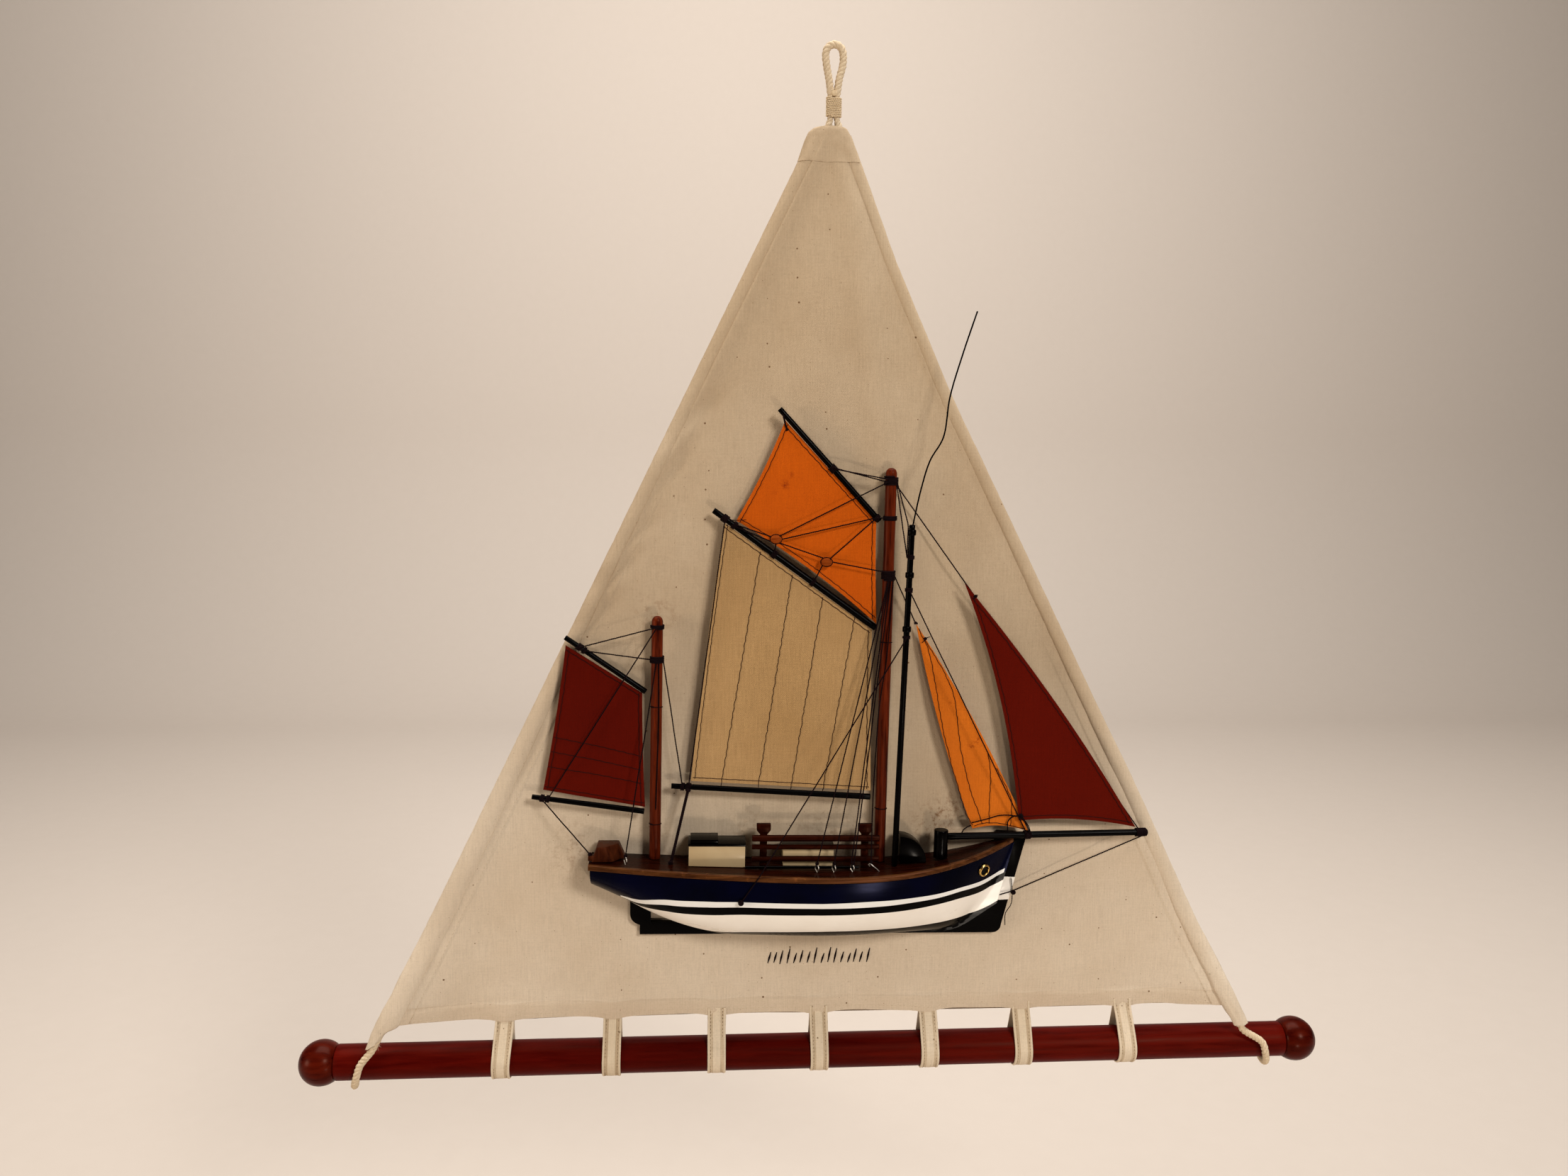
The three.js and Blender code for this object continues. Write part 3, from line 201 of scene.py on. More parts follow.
def tube(points, radius, sides=8, caps=True):
    p = np.asarray(points, float)
    a, b = frames(p)
    r = np.broadcast_to(np.asarray(radius, float), len(p))[:, None, None]
    angle = np.array(circle(sides))[None, :, None]
    ring = np.cos(angle) * a[:, None] + np.sin(angle) * b[:, None]
    return loft(p[:, None] + r * ring, True, caps)


def twisted(shape, points, diameter, strands, lay, sides, steps, girth=None):
    """Strands laid round each other along a line, with the given length of lay."""
    p = spaced(points, lay / steps)
    a, b = frames(p)
    wide = np.full(len(p), float(diameter))
    if girth is not None:
        wide *= np.array([girth(q) for q in p])
    radius = wide * STRAND
    reach = (wide / 2 - radius)[:, None]
    s = np.arange(len(p)) * (lay / steps)
    for first in circle(strands):
        angle = (s / lay * 2 * math.pi + first)[:, None]
        shape.add(*tube(p + reach * (np.cos(angle) * a + np.sin(angle) * b), radius, sides))


def helix(centre, axis, radius, wire, turns, pitch, steps=14, start=0.0):
    """A thread wound round an axis."""
    axis = unit(axis)
    a, b = square_to(axis)
    out = []
    for i in range(int(turns * steps) + 1):
        t = i / steps
        angle = start + t * 2 * math.pi
        reach = radius + wire * (1 + 0.12 * wobble(t * 3.1, start))
        ring = reach * (math.cos(angle) * a + math.sin(angle) * b)
        out.append(np.asarray(centre) + axis * (t - turns / 2) * pitch + ring)
    return tube(out, wire, 6)


def lathe(profile, place, sides):
    """Rings from a list of radius and height, put in place by a function of x, y and height."""
    turned = circle(sides)
    return loft([[place(r * math.cos(a), r * math.sin(a), h) for a in turned] for r, h in profile])


def bar(start, end, radius, end_radius=None, sides=24, edge=0.35):
    """A round bar with softened ends."""
    start, end = np.asarray(start, float), np.asarray(end, float)
    length = np.linalg.norm(end - start)
    axis = (end - start) / length
    a, b = square_to(axis)
    end_radius = end_radius or radius
    stops = [0, 0.02 * edge, edge * 0.3, edge]
    cuts = [1 - edge / radius, 1 - 0.7 * edge / radius, 1 - 0.2 * edge / radius, 1]
    profile = [(radius * c, s) for s, c in zip(stops, cuts)]
    count = max(2, int(length / 6))
    for i in range(1, count):
        profile.append((lerp(radius, end_radius, i / count), length * i / count))
    profile += [(end_radius * c, length - s) for s, c in zip(stops[::-1], cuts[::-1])]
    return lathe(profile, lambda x, y, h: start + axis * h + a * x + b * y, sides)


def make(name, shape, materials, slot, nodes=(), sharp=40, bevel=0.0, segments=2):
    """One piece of the scene from a Shape, riding on the body and standing for its CAD nodes."""
    mesh = shape.mesh(name, materials)
    work = bmesh.new()
    work.from_mesh(mesh)
    bmesh.ops.remove_doubles(work, verts=work.verts, dist=MERGE)
    bmesh.ops.recalc_face_normals(work, faces=work.faces)
    if bevel:
        hard = [e for e in work.edges if len(e.link_faces) == 2]
        hard = [e for e in hard if e.calc_face_angle(0) > HARD_EDGE]
        cut = {"offset": bevel * MM, "segments": segments, "profile": 0.5, "clamp_overlap": True}
        bmesh.ops.bevel(work, geom=hard, affect="EDGES", **cut)
    work.to_mesh(mesh)
    work.free()
    mesh.polygons.foreach_set("use_smooth", [True] * len(mesh.polygons))
    mesh.set_sharp_from_angle(angle=math.radians(sharp))
    piece = put(name, mesh)
    if nodes:
        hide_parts(*nodes)
    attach(piece, "root")
    return piece


# Materials
class Paint:
    """A node material round one Principled shader, in the object's own coordinates."""

    def __init__(self, name, roughness=0.5, **fixed):
        self.material = bpy.data.materials.new(name)
        self.material.use_nodes = True
        self.tree = self.material.node_tree
        self.shader = self.tree.nodes["Principled BSDF"]
        self.shader.inputs["Roughness"].default_value = roughness
        for key, value in fixed.items():
            self.shader.inputs[key.replace("_", " ")].default_value = value
        self.place = self.tree.nodes.new("ShaderNodeTexCoord").outputs["Object"]

    def feed(self, socket, value):
        """A link to another node's result, or else a constant."""
        if isinstance(value, bpy.types.NodeSocket):
            self.tree.links.new(value, socket)
        else:
            socket.default_value = value

    def node(self, kind, settings=(), **inputs):
        """A node with its settings and inputs, which are given by name or, as _0, by number."""
        made = self.tree.nodes.new("ShaderNode" + kind)
        for key, value in dict(settings).items():
            setattr(made, key, value)
        for key, value in inputs.items():
            self.feed(made.inputs[int(key[1:])] if key[0] == "_" else made.inputs[key], value)
        return made

    def scaled(self, x, y, z):
        return self.node("Mapping", Vector=self.place, Scale=(x, y, z)).outputs[0]

    def noise(self, scale, detail=4.0, roughness=0.55, place=None, distortion=0.0):
        made = self.node("TexNoise", Scale=scale, Detail=detail, Roughness=roughness)
        self.feed(made.inputs["Vector"], self.place if place is None else place)
        self.feed(made.inputs["Distortion"], distortion)
        return made.outputs["Fac"]

    def gate(self, value, low, high, first=0.0, last=1.0):
        ends = {"_1": low, "_2": high, "_3": first, "_4": last}
        return self.node("MapRange", {"clamp": True}, _0=value, **ends).outputs[0]

    def patchy(self, amount, low, high, share=1.0):
        """The part of a texture between two of its values, up to a share."""
        return self.gate(amount, low, high, 0.0, share)

    def mix(self, share, first, second, blend="MIX"):
        first, second = [(*c, 1) if isinstance(c, tuple) else c for c in (first, second)]
        kind = {"data_type": "RGBA", "blend_type": blend}
        return self.node("Mix", kind, _0=share, _6=first, _7=second).outputs[2]

    def math(self, kind, *values):
        inputs = {f"_{i}": value for i, value in enumerate(values)}
        return self.node("Math", {"operation": kind}, **inputs).outputs[0]

    def axes(self):
        return self.node("SeparateXYZ", _0=self.place).outputs

    def spot(self, x, z, reach):
        """1 at a place seen from the front, given in millimetres, and 0 from reach on."""
        flat = self.scaled(1, 0, 1)
        far = self.node("VectorMath", {"operation": "DISTANCE"}, _0=flat, _1=(x * MM, 0, z * MM))
        return self.gate(far.outputs["Value"], 0.0, reach * MM, 1.0, 0.0)

    def color(self, value):
        self.tree.links.new(value, self.shader.inputs["Base Color"])

    def rough(self, value):
        self.tree.links.new(value, self.shader.inputs["Roughness"])

    def bump(self, height, distance, strength=1.0, under=None):
        made = self.node("Bump", Height=height, Distance=distance * MM, Strength=strength)
        if under is not None:
            self.tree.links.new(under, made.inputs["Normal"])
        self.tree.links.new(made.outputs[0], self.shader.inputs["Normal"])
        return made.outputs[0]

    def weave(self, pitch):
        """The height of a plain weave seen from the front, with threads of uneven thickness."""
        axes = self.axes()
        waves = []
        for axis, stretch in ((0, (900, 1, 45)), (2, (45, 1, 900))):
            slub = self.noise(1.0, 2.0, 0.6, self.scaled(*stretch))
            turns = self.math("MULTIPLY", axes[axis], 1000 * math.pi / pitch)
            waves.append(self.math("SINE", self.math("MULTIPLY_ADD", slub, 5.0, turns)))
        return self.math("MULTIPLY_ADD", self.math("MULTIPLY", *waves), 0.5, 0.5)

    def slubs(self):
        """Streaks along both ways of the thread, from 0 to 1."""
        warp = self.noise(1.0, 3.0, 0.6, self.scaled(1400, 1, 55))
        weft = self.noise(1.0, 3.0, 0.6, self.scaled(55, 1, 1400))
        return self.math("MULTIPLY_ADD", warp, 0.66, self.math("MULTIPLY", weft, 0.34))


TOP_TONE = (0.83, 0.77, 0.68)
SHADE_TONE = (0.78, 0.73, 0.66)
SPECK = (0.14, 0.075, 0.035)
# Scale, radius, share of the cells that have none, and strength of small and larger specks
SPECKS = ((150, 0.055, 0.84, 0.5), (48, 0.035, 0.8, 0.9))


def times(tone, factor):
    return tuple(c * factor for c in tone)


def cloth(
    name,
    light,
    dark,
    pitch=0.55,
    spots=(),
    specks=0.0,
    weave=0.1,
    streaks=0.3,
    darker_top=0.0,
    painted_shade=(),
):
    """Woven cloth: two tones of colour, the weave, a darker top, painted shade, stains and small
    dark specks.
    """
    paint = Paint(name, 0.92, Specular_IOR_Level=0.05)
    tone = paint.mix(paint.gate(paint.noise(9, 5.0, 0.6), 0.3, 0.72), light, dark)
    deep = times(dark, 0.62)
    tone = paint.mix(paint.patchy(paint.slubs(), 0.42, 0.66, streaks), tone, deep)
    tone = paint.mix(paint.patchy(paint.noise(750, 3.0, 0.7), 0.45, 0.75, 0.25), tone, deep)
    # Darker towards the top: a multiplied tone, full above 0.2 m under the eye and none below 0.6 m
    if darker_top:
        share = paint.patchy(paint.axes()[2], -0.6, -0.2, darker_top)
        tone = paint.mix(share, tone, TOP_TONE, "MULTIPLY")
    # Places of painted shade, where a darker tone is multiplied in round a spot
    for x, z, reach, strength in painted_shade:
        share = paint.math("MULTIPLY", paint.spot(x, z, reach), strength)
        tone = paint.mix(share, tone, SHADE_TONE, "MULTIPLY")
    # Ragged spots of another tone: stains, and on the canvas also painted shade
    for x, z, reach, strength, stain_and_shade in spots:
        ragged = paint.gate(paint.noise(190, 6.0, 0.75), 0.5, 0.6)
        share = paint.math("MULTIPLY", paint.spot(x, z, reach), ragged)
        tone = paint.mix(paint.math("MULTIPLY", share, strength), tone, stain_and_shade)
    if specks:
        axes = paint.axes()
        flat = paint.node("CombineXYZ", _0=axes[0], _1=axes[2]).outputs[0]
        for scale, radius, bare, amount in SPECKS:
            plane = {"voronoi_dimensions": "2D"}
            flecks = paint.node("TexVoronoi", plane, Vector=flat, Scale=scale).outputs
            chosen = paint.node("SeparateColor", _0=flecks["Color"]).outputs
            keep = paint.gate(chosen[0], bare, bare + 0.01)
            size = paint.gate(chosen[1], 0.0, 1.0, radius * 0.5, radius)
            dot = paint.math("LESS_THAN", flecks["Distance"], size)
            share = paint.math("MULTIPLY", paint.math("MULTIPLY", dot, keep), specks * amount)
            tone = paint.mix(share, tone, SPECK)
    paint.color(tone)
    soft = paint.bump(paint.noise(38, 4.0), 0.25, 0.4)
    paint.bump(paint.weave(pitch), weave, 0.8, soft)
    return paint.material


def wood(name, dark, light, along, roughness, scale=1.0, wear=0.0, gloss=0.25, coat=0.0):
    """Stained wood with its grain along one axis."""
    shine = {"Specular_IOR_Level": gloss, "Specular_Tint": (1.0, 0.4, 0.25, 1.0)}
    paint = Paint(name, roughness, Coat_Weight=coat, Coat_Roughness=0.18, **shine)
    place = paint.scaled(*(scale * (0.09 if axis == along else 1) for axis in "xyz"))
    grain = paint.noise(260, 6.0, 0.62, place, 0.35)
    broad = paint.noise(45, 3.0, 0.5, place)
    tone = paint.mix(paint.gate(grain, 0.32, 0.7), dark, light)
    tone = paint.mix(paint.patchy(broad, 0.3, 0.75, 0.6), tone, times(dark, 0.45))
    if wear:
        worn = paint.patchy(paint.noise(120, 5.0, 0.7), 0.62, 0.72, wear)
        tone = paint.mix(worn, tone, times(light, 2.2))
    paint.color(tone)
    paint.rough(paint.gate(grain, 0.3, 0.7, roughness * 0.85, roughness * 1.35))
    paint.bump(grain, 0.06, 0.5)
    return paint.material


def lacquer(name, tone, roughness, second=None, gloss=0.2, shine=(1, 1, 1, 1), coat=0.0, dust=0.0):
    """Brushed paint: nearly even, with brush marks and a little dust."""
    paint = Paint(
        name,
        roughness,
        Coat_Weight=coat,
        Coat_Roughness=0.1,
        Specular_IOR_Level=gloss,
        Specular_Tint=shine,
    )
    marks = paint.noise(180, 4.0, 0.6, paint.scaled(0.12, 1, 1))
    patches = paint.gate(paint.noise(22, 4.0, 0.6), 0.35, 0.7)
    color = paint.mix(patches, tone, second or times(tone, 0.7))
    if dust:
        grey = tuple(min(1, c + 0.05) for c in tone)
        color = paint.mix(paint.patchy(paint.noise(300, 5.0, 0.7), 0.6, 0.75, dust), color, grey)
    paint.color(color)
    paint.rough(paint.gate(marks, 0.3, 0.7, roughness * 0.8, roughness * 1.5))
    paint.bump(marks, 0.05, 0.35)
    return paint.material


def metal(name, tone, dull, roughness):
    paint = Paint(name, roughness, Metallic=1.0)
    patches = paint.noise(350, 4.0, 0.6)
    paint.color(paint.mix(paint.gate(patches, 0.4, 0.7), tone, dull))
    paint.rough(paint.gate(patches, 0.3, 0.7, roughness * 0.7, roughness * 1.6))
    paint.bump(patches, 0.03, 0.3)
    return paint.material


def fibre(name, light, dark, size=1500, roughness=0.9, gloss=0.15):
    """Spun cotton or thread: fine fibres in the colour and in the surface."""
    paint = Paint(name, roughness, Specular_IOR_Level=gloss)
    hairs = paint.noise(size, 4.0, 0.7)
    tone = paint.mix(paint.gate(hairs, 0.3, 0.7), dark, light)
    tone = paint.mix(paint.patchy(paint.noise(70, 3.0), 0.4, 0.75, 0.4), tone, dark)
    paint.color(tone)
    paint.bump(hairs, 0.08, 0.7)
    return paint.material


# Stains, some of them painted shade, as x, z, reach, strength and tone, and places of painted
# shade, as x, z, reach and strength
STAIN_AND_SHADE_TONE = (0.2, 0.1, 0.045)
RUST = (0.2, 0.02, 0.002)
# Painted shade on the canvas, in broad soft places round the ship
CANVAS_SHADE = [
    (60, -400, 300, 0.8),
    (0, -470, 250, 0.4),
    (85, -540, 60, 0.35),
    (-142, -395, 85, 0.5),
    (168, -405, 75, 0.45),
]
# Ragged spots on the canvas: those along the deck line and by the bollard are painted shade, the
# others are stains
CANVAS_STAINS_AND_SHADE = [
    (80, -538, 24, 0.75),
    (93, -526, 18, 0.6),
    (84, -531, 9, 0.7),
    (0, -549, 32, 0.45),
    (-52, -545, 28, 0.35),
    (-120, -552, 30, 0.25),
    (30, -548, 24, 0.45),
    (-120, -385, 20, 0.5),
    (-177, -555, 30, 0.4),
]
TOPSAIL_RUST = [
    (-31.9, -293.2, 5, 1.0),
    (-16.2, -283.9, 4, 0.8),
    (-28.1, -285.4, 4, 0.7),
    (-37, -299, 4, 0.5),
]
STAYSAIL_RUST = [(108.8, -474.2, 6, 1.0), (89.3, -446.9, 3, 0.8), (104, -479, 4, 0.8)]
canvas_cloth = cloth(
    "canvas_cloth",
    (0.66, 0.56, 0.44),
    (0.57, 0.46, 0.34),
    specks=1.0,
    weave=0.08,
    darker_top=1.0,
    painted_shade=CANVAS_SHADE,
    spots=[(*spot, STAIN_AND_SHADE_TONE) for spot in CANVAS_STAINS_AND_SHADE],
)
foot_cloth = cloth("foot_cloth", (0.62, 0.512, 0.388), (0.53, 0.415, 0.3), specks=1.0, weave=0.08)
loop_cloth = cloth("loop_cloth", (0.72, 0.61, 0.47), (0.6, 0.49, 0.35), specks=0.8)
# Darker, streaked cloth for the grooves by the loops' folded edges: painted shade together with
# soiling
groove_shade_and_soil_cloth = cloth(
    "groove_shade_and_soil_cloth", (0.64, 0.52, 0.375), (0.42, 0.31, 0.195), specks=0.8, streaks=0.6
)
rusted = [(*spot, RUST) for spot in TOPSAIL_RUST]
orange_cloth = cloth("orange_cloth", (0.56, 0.1, 0.004), (0.45, 0.072, 0.003), 0.5, rusted)
rusted = [(*spot, RUST) for spot in STAYSAIL_RUST]
stay_cloth = cloth("stay_cloth", (0.62, 0.155, 0.012), (0.5, 0.11, 0.008), 0.5, rusted)
red_cloth = cloth("red_cloth", (0.1, 0.0042, 0.0006), (0.076, 0.0028, 0.0005), 0.5)
linen_cloth = cloth(
    "linen_cloth", (0.44, 0.272, 0.122), (0.37, 0.22, 0.092), 0.7, weave=0.14, streaks=0.45
)
cotton_rope = fibre("cotton_rope", (0.72, 0.6, 0.43), (0.5, 0.38, 0.25), 900)
black_thread = fibre(
    "black_thread", (0.009, 0.003, 0.004), (0.003, 0.001, 0.0015), roughness=0.8, gloss=0.05
)
cream_thread = fibre("cream_thread", (0.7, 0.56, 0.37), (0.55, 0.42, 0.27))
stitch_thread = fibre("stitch_thread", (0.56, 0.45, 0.32), (0.45, 0.35, 0.23))
tan_thread = fibre("tan_thread", (0.24, 0.16, 0.08), (0.1, 0.055, 0.022))
brown_thread = fibre(
    "brown_thread", (0.03, 0.006, 0.005), (0.012, 0.003, 0.003), roughness=0.8, gloss=0.05
)
# Stained woods: dark and light tone, way of the grain, roughness, scale of the grain, wear, gloss
rod_wood = wood("rod_wood", (0.05, 0.001, 0.0005), (0.1, 0.003, 0.001), "x", 0.4, gloss=0.07)
ball_wood = wood(
    "ball_wood", (0.028, 0.001, 0.0005), (0.11, 0.008, 0.002), "x", 0.28, 0.6, 0, 0.07, coat=0.02
)
mast_wood = wood(
    "mast_wood", (0.022, 0.0016, 0.0008), (0.16, 0.02, 0.004), "z", 0.35, 1.6, 0, 0.12
)
deck_wood = wood(
    "deck_wood", (0.004, 0.0006, 0.0003), (0.026, 0.004, 0.001), "x", 0.25, 1.2, 0.25, 0.06
)
# A lighter copy of the deck wood for the plank's rounded front edge: painted highlight
lit_edge_wood = wood(
    "lit_edge_wood", (0.022, 0.006, 0.002), (0.12, 0.042, 0.011), "x", 0.25, 1.2, 0.4, 0.15
)
rack_wood = wood(
    "rack_wood", (0.006, 0.0007, 0.0003), (0.03, 0.004, 0.001), "x", 0.3, 1.4, 0.2, 0.06
)
brown_wood = wood(
    "brown_wood", (0.02, 0.003, 0.001), (0.075, 0.016, 0.004), "z", 0.45, 1.5, 0, 0.15
)
block_wood = wood("block_wood", (0.16, 0.026, 0.003), (0.32, 0.062, 0.007), "x", 0.5, 3, 0, 0.06)
# Paints: tone, roughness, second tone, gloss
navy_paint = lacquer(
    "navy_paint", (0.0004, 0.0004, 0.002), 0.18, (0.0005, 0.0007, 0.009), 0.04, (0.45, 0.5, 1, 1)
)
black_paint = lacquer("black_paint", (0.0008, 0.0005, 0.0005), 0.16, gloss=0.04, dust=0.01)
spar_paint = lacquer("spar_paint", (0.0009, 0.0006, 0.0006), 0.22, gloss=0.03, dust=0.01)
stripe_paint = lacquer("stripe_paint", (0.8, 0.79, 0.76), 0.3, (0.74, 0.73, 0.7), 0.3, coat=0.1)
band_paint = lacquer("band_paint", (0.84, 0.79, 0.72), 0.3, (0.78, 0.72, 0.64), 0.3, coat=0.1)
# The white paint of the deckhouse and hatch walls, darkened to a tan as painted shade
shaded_house_paint = lacquer("shaded_house_paint", (0.5, 0.38, 0.22), 0.35, (0.42, 0.3, 0.16), 0.25, coat=0.03)
brass = metal("brass", (0.75, 0.5, 0.16), (0.35, 0.2, 0.06), 0.22)
steel = metal("steel", (0.6, 0.57, 0.52), (0.25, 0.22, 0.2), 0.3)

# Canvas and rope, as in the CAD model
CANVAS_TOP, CANVAS_FOOT = -50.5, -679.0
HALF_TOP, SLOPE = 12.5, 0.487
HEM_WIDTH, HEM_DEPTH, HEM_TAIL = 13.0, 8.2, 11.0
CORNER_HEIGHT, CORNER_START, CORNER_SINK = 90.0, 0.8, 3.0
ROPE_RADIUS, EYE_WIDTH = 2.7, 6.4
ROD_RADIUS, ROD_HALF = 12.5, 349.3
ROD_Z = CANVAS_FOOT - 17.5 - ROD_RADIUS
HEM_COS = math.cos(math.atan(SLOPE))
CORNER_LIFT = ROD_RADIUS + HEM_DEPTH / 2 - CORNER_SINK
HEM_END = CANVAS_FOOT - HEM_TAIL
HEM_STEPS = [HEM_END + part * CORNER_HEIGHT for part in (0, 0.2, 0.4, 0.62, 0.89, 1.25)]
# The sewn hem is a tube close round the rope, with its seam further in
TUBE_HALF, TUBE_DEEP = 4.8, 3.8
SEAM_IN = 11.3
# The right edge hangs a little inside the straight line, and its upper part is rolled to the back
TUCK_AT = [-700, -520, -450, -330, -235, -143, -82, -50]
TUCK_BY = [7.0, 6.8, 9.0, 11.3, 13.5, 10.5, 5.0, 2.0]
LOOP_SHIFTS = [-3, -1.5, -1.5, -2.5, 3, -2.5, -1]
LOOP_X = [(i - 3) * 75.5 + shift for i, shift in enumerate(LOOP_SHIFTS)]


def half_width(z):
    return HALF_TOP + SLOPE * (CANVAS_TOP - z)


def lift(z):
    """How far a lower corner stands off the wall, round the rod."""
    return CORNER_LIFT * smooth(-z, -CANVAS_FOOT - CORNER_HEIGHT, -CANVAS_FOOT + HEM_TAIL)


def tube_half(z, hand):
    """Half the width of the hem's tube, which is wider towards the rod."""
    return TUBE_HALF + (3.0 if hand < 0 else 1.4) * smooth(-z, 330, 640)


def seam_in(z, hand):
    """How far in from the edge the hem is sewn."""
    return SEAM_IN * (1 + (0.4 if hand < 0 else 0.2) * smooth(-z, 330, 640))


def rolled(z, hand):
    """How far the right edge is rolled to the back, from 0 to 1."""
    return (1 - smooth(-z, 360, 500)) if hand > 0 else 0.0


def edge_x(z, hand):
    """Where the middle of the hem's tube is."""
    tuck = float(np.interp(z, TUCK_AT, TUCK_BY)) if hand > 0 else 0.0
    return hand * (half_width(z) - TUBE_HALF / HEM_COS - tuck)


def hem_point(z, hand):
    """A point of the middle line of a hem's tube."""
    return np.array([edge_x(z, hand), 2.0 * rolled(z, hand) - lift(z), z])


# The hanging rope: round the rod, up one hem, through the eye and down again
WHIP_FOOT, WHIP_HEAD = -45.3, -31.2
PRESSED = 0.8
WRAP_START, WRAP_END, WRAP_STEPS = 2.75, 6.6, 9
EYE_FOOT = -31.0
EYE_REACH = (EYE_WIDTH + 2 * ROPE_RADIUS) / 2
STRAND_X = ROPE_RADIUS * PRESSED
HEM_WAY = [-450, -330, -235, -143, -90.5, CANVAS_TOP - 20]


def rope_side(hand):
    """Half of the rope's middle line, from behind the rod to the top of the eye."""
    step = (WRAP_END - WRAP_START) / WRAP_STEPS
    radius = (ROD_RADIUS + GAP + ROPE_RADIUS) / math.cos(step / 2)
    turn_x = half_width(CANVAS_FOOT) - HEM_WIDTH / 2 / HEM_COS + 27
    side = []
    for i in range(WRAP_STEPS + 1):
        angle = WRAP_START + i * step
        inward = 9.5 * abs(1 - 2 * (angle - 1) / 5.6) ** 1.6
        x = hand * (turn_x - inward)
        side.append((x, -radius * math.cos(angle), ROD_Z + radius * math.sin(angle)))
    side.append(hem_point(HEM_END - 4, hand) + (0.2 * hand, -0.4, 0))
    side += [hem_point(z, hand) for z in HEM_STEPS + HEM_WAY]
    neck = [
        (5.4, CANVAS_TOP - 6),
        (STRAND_X + 0.8, CANVAS_TOP + 1.6),
        (STRAND_X, -45.5),
        (STRAND_X, EYE_FOOT),
        (STRAND_X + 1.2, EYE_FOOT * 2 / 3),
        (EYE_REACH - 0.6 + 0.5 * (hand > 0), EYE_FOOT / 3),
        (EYE_REACH, -EYE_WIDTH / 2),
    ]
    return side + [(hand * x, 0, z) for x, z in neck]


def rope_line():
    angles = [i * math.pi / 5 for i in range(1, 5)]
    top = [(EYE_REACH * math.cos(a), 0, EYE_REACH * math.sin(a) - EYE_WIDTH / 2) for a in angles]
    return np.array(rope_side(1) + top + rope_side(-1)[::-1], float)


def frayed(shape, tip, way, count, length, spread, seed, wire):
    """Loose fibres that fan out of a cut end."""
    pick = np.random.default_rng(seed)
    for _ in range(count):
        start = np.asarray(tip) + pick.normal(0, spread * 0.35, 3)
        aim = unit(np.asarray(way) + pick.normal(0, 0.45, 3))
        bend = pick.normal(0, 0.35, 3)
        reach = length * pick.uniform(0.5, 1.1)
        line = [start + aim * reach * t + bend * reach * t * t for t in np.linspace(0, 1, 5)]
        shape.add(*tube(line, np.linspace(wire, wire * 0.5, 5), 4))


def girth(p):
    """The rope is pressed thinner under its whipping."""
    return lerp(1, PRESSED, smooth(p[2], -50, -47) * smooth(-p[2], 27, 32))


rope = Shape()
# Cut a little shorter behind the rod, where it can't be seen from the front
line = route(rope_line(), 1.5)[3:-3]
twisted(rope, line, 2 * ROPE_RADIUS, 3, 9.0, 8, 8, girth)
make("cotton_hanging_rope", rope, [cotton_rope], "rope", ["hanging_rope"], sharp=80)

# The whipping under the eye, wound round both strands, with a tuft of cotton over it
TURNS, PER_TURN, WHIP_WIRE = 10, 28, 0.7
whip = Shape()
reach = STRAND_X + 0.5
straight = 2 * STRAND_X
half = straight + math.pi * reach
wound = []
for i in range(TURNS * PER_TURN + 1):
    around = (i % PER_TURN) / PER_TURN * 2 * half
    side = 1 if around < half else -1
    around %= half
    if around < straight:
        x, y = around - STRAND_X, -reach
    else:
        angle = (around - straight) / reach - math.pi / 2
        x, y = STRAND_X + reach * math.cos(angle), reach * math.sin(angle)
    z = lerp(WHIP_FOOT + WHIP_WIRE, WHIP_HEAD - WHIP_WIRE, i / (TURNS * PER_TURN))
    shift = (0.1 * wobble(i * 0.21, 3.0), 0.15 * wobble(i * 0.13, 7.0))
    wound.append((side * x, side * y + shift[0], z + shift[1]))
twisted(whip, wound, 2 * WHIP_WIRE, 2, 2.6, 6, 6)
lump = []
for angle in np.linspace(0, math.pi, 13):
    lump.append((2.3 * math.sin(angle) + 0.15, WHIP_HEAD - 0.6 + 2.4 * (1 - math.cos(angle))))


def tufted(x, y, h):
    shift = 1 + 0.28 * wobble(x * 0.9, y * 0.9, h * 0.9) + 0.12 * wobble(x * 3, y * 3, h * 3)
    return (x * 1.15 * shift, y * 0.9 * shift - 0.9, h + 0.3 * wobble(x, h, 2.0))


whip.add(*lathe(lump, tufted, 22))
frayed(whip, (0, -1.5, WHIP_HEAD + 2.4), (0, -0.4, 1), 22, 3.2, 2.6, 7, 0.12)
make("thread_whipping", whip, [cream_thread], "rope", ["eye_whipping"], sharp=80)

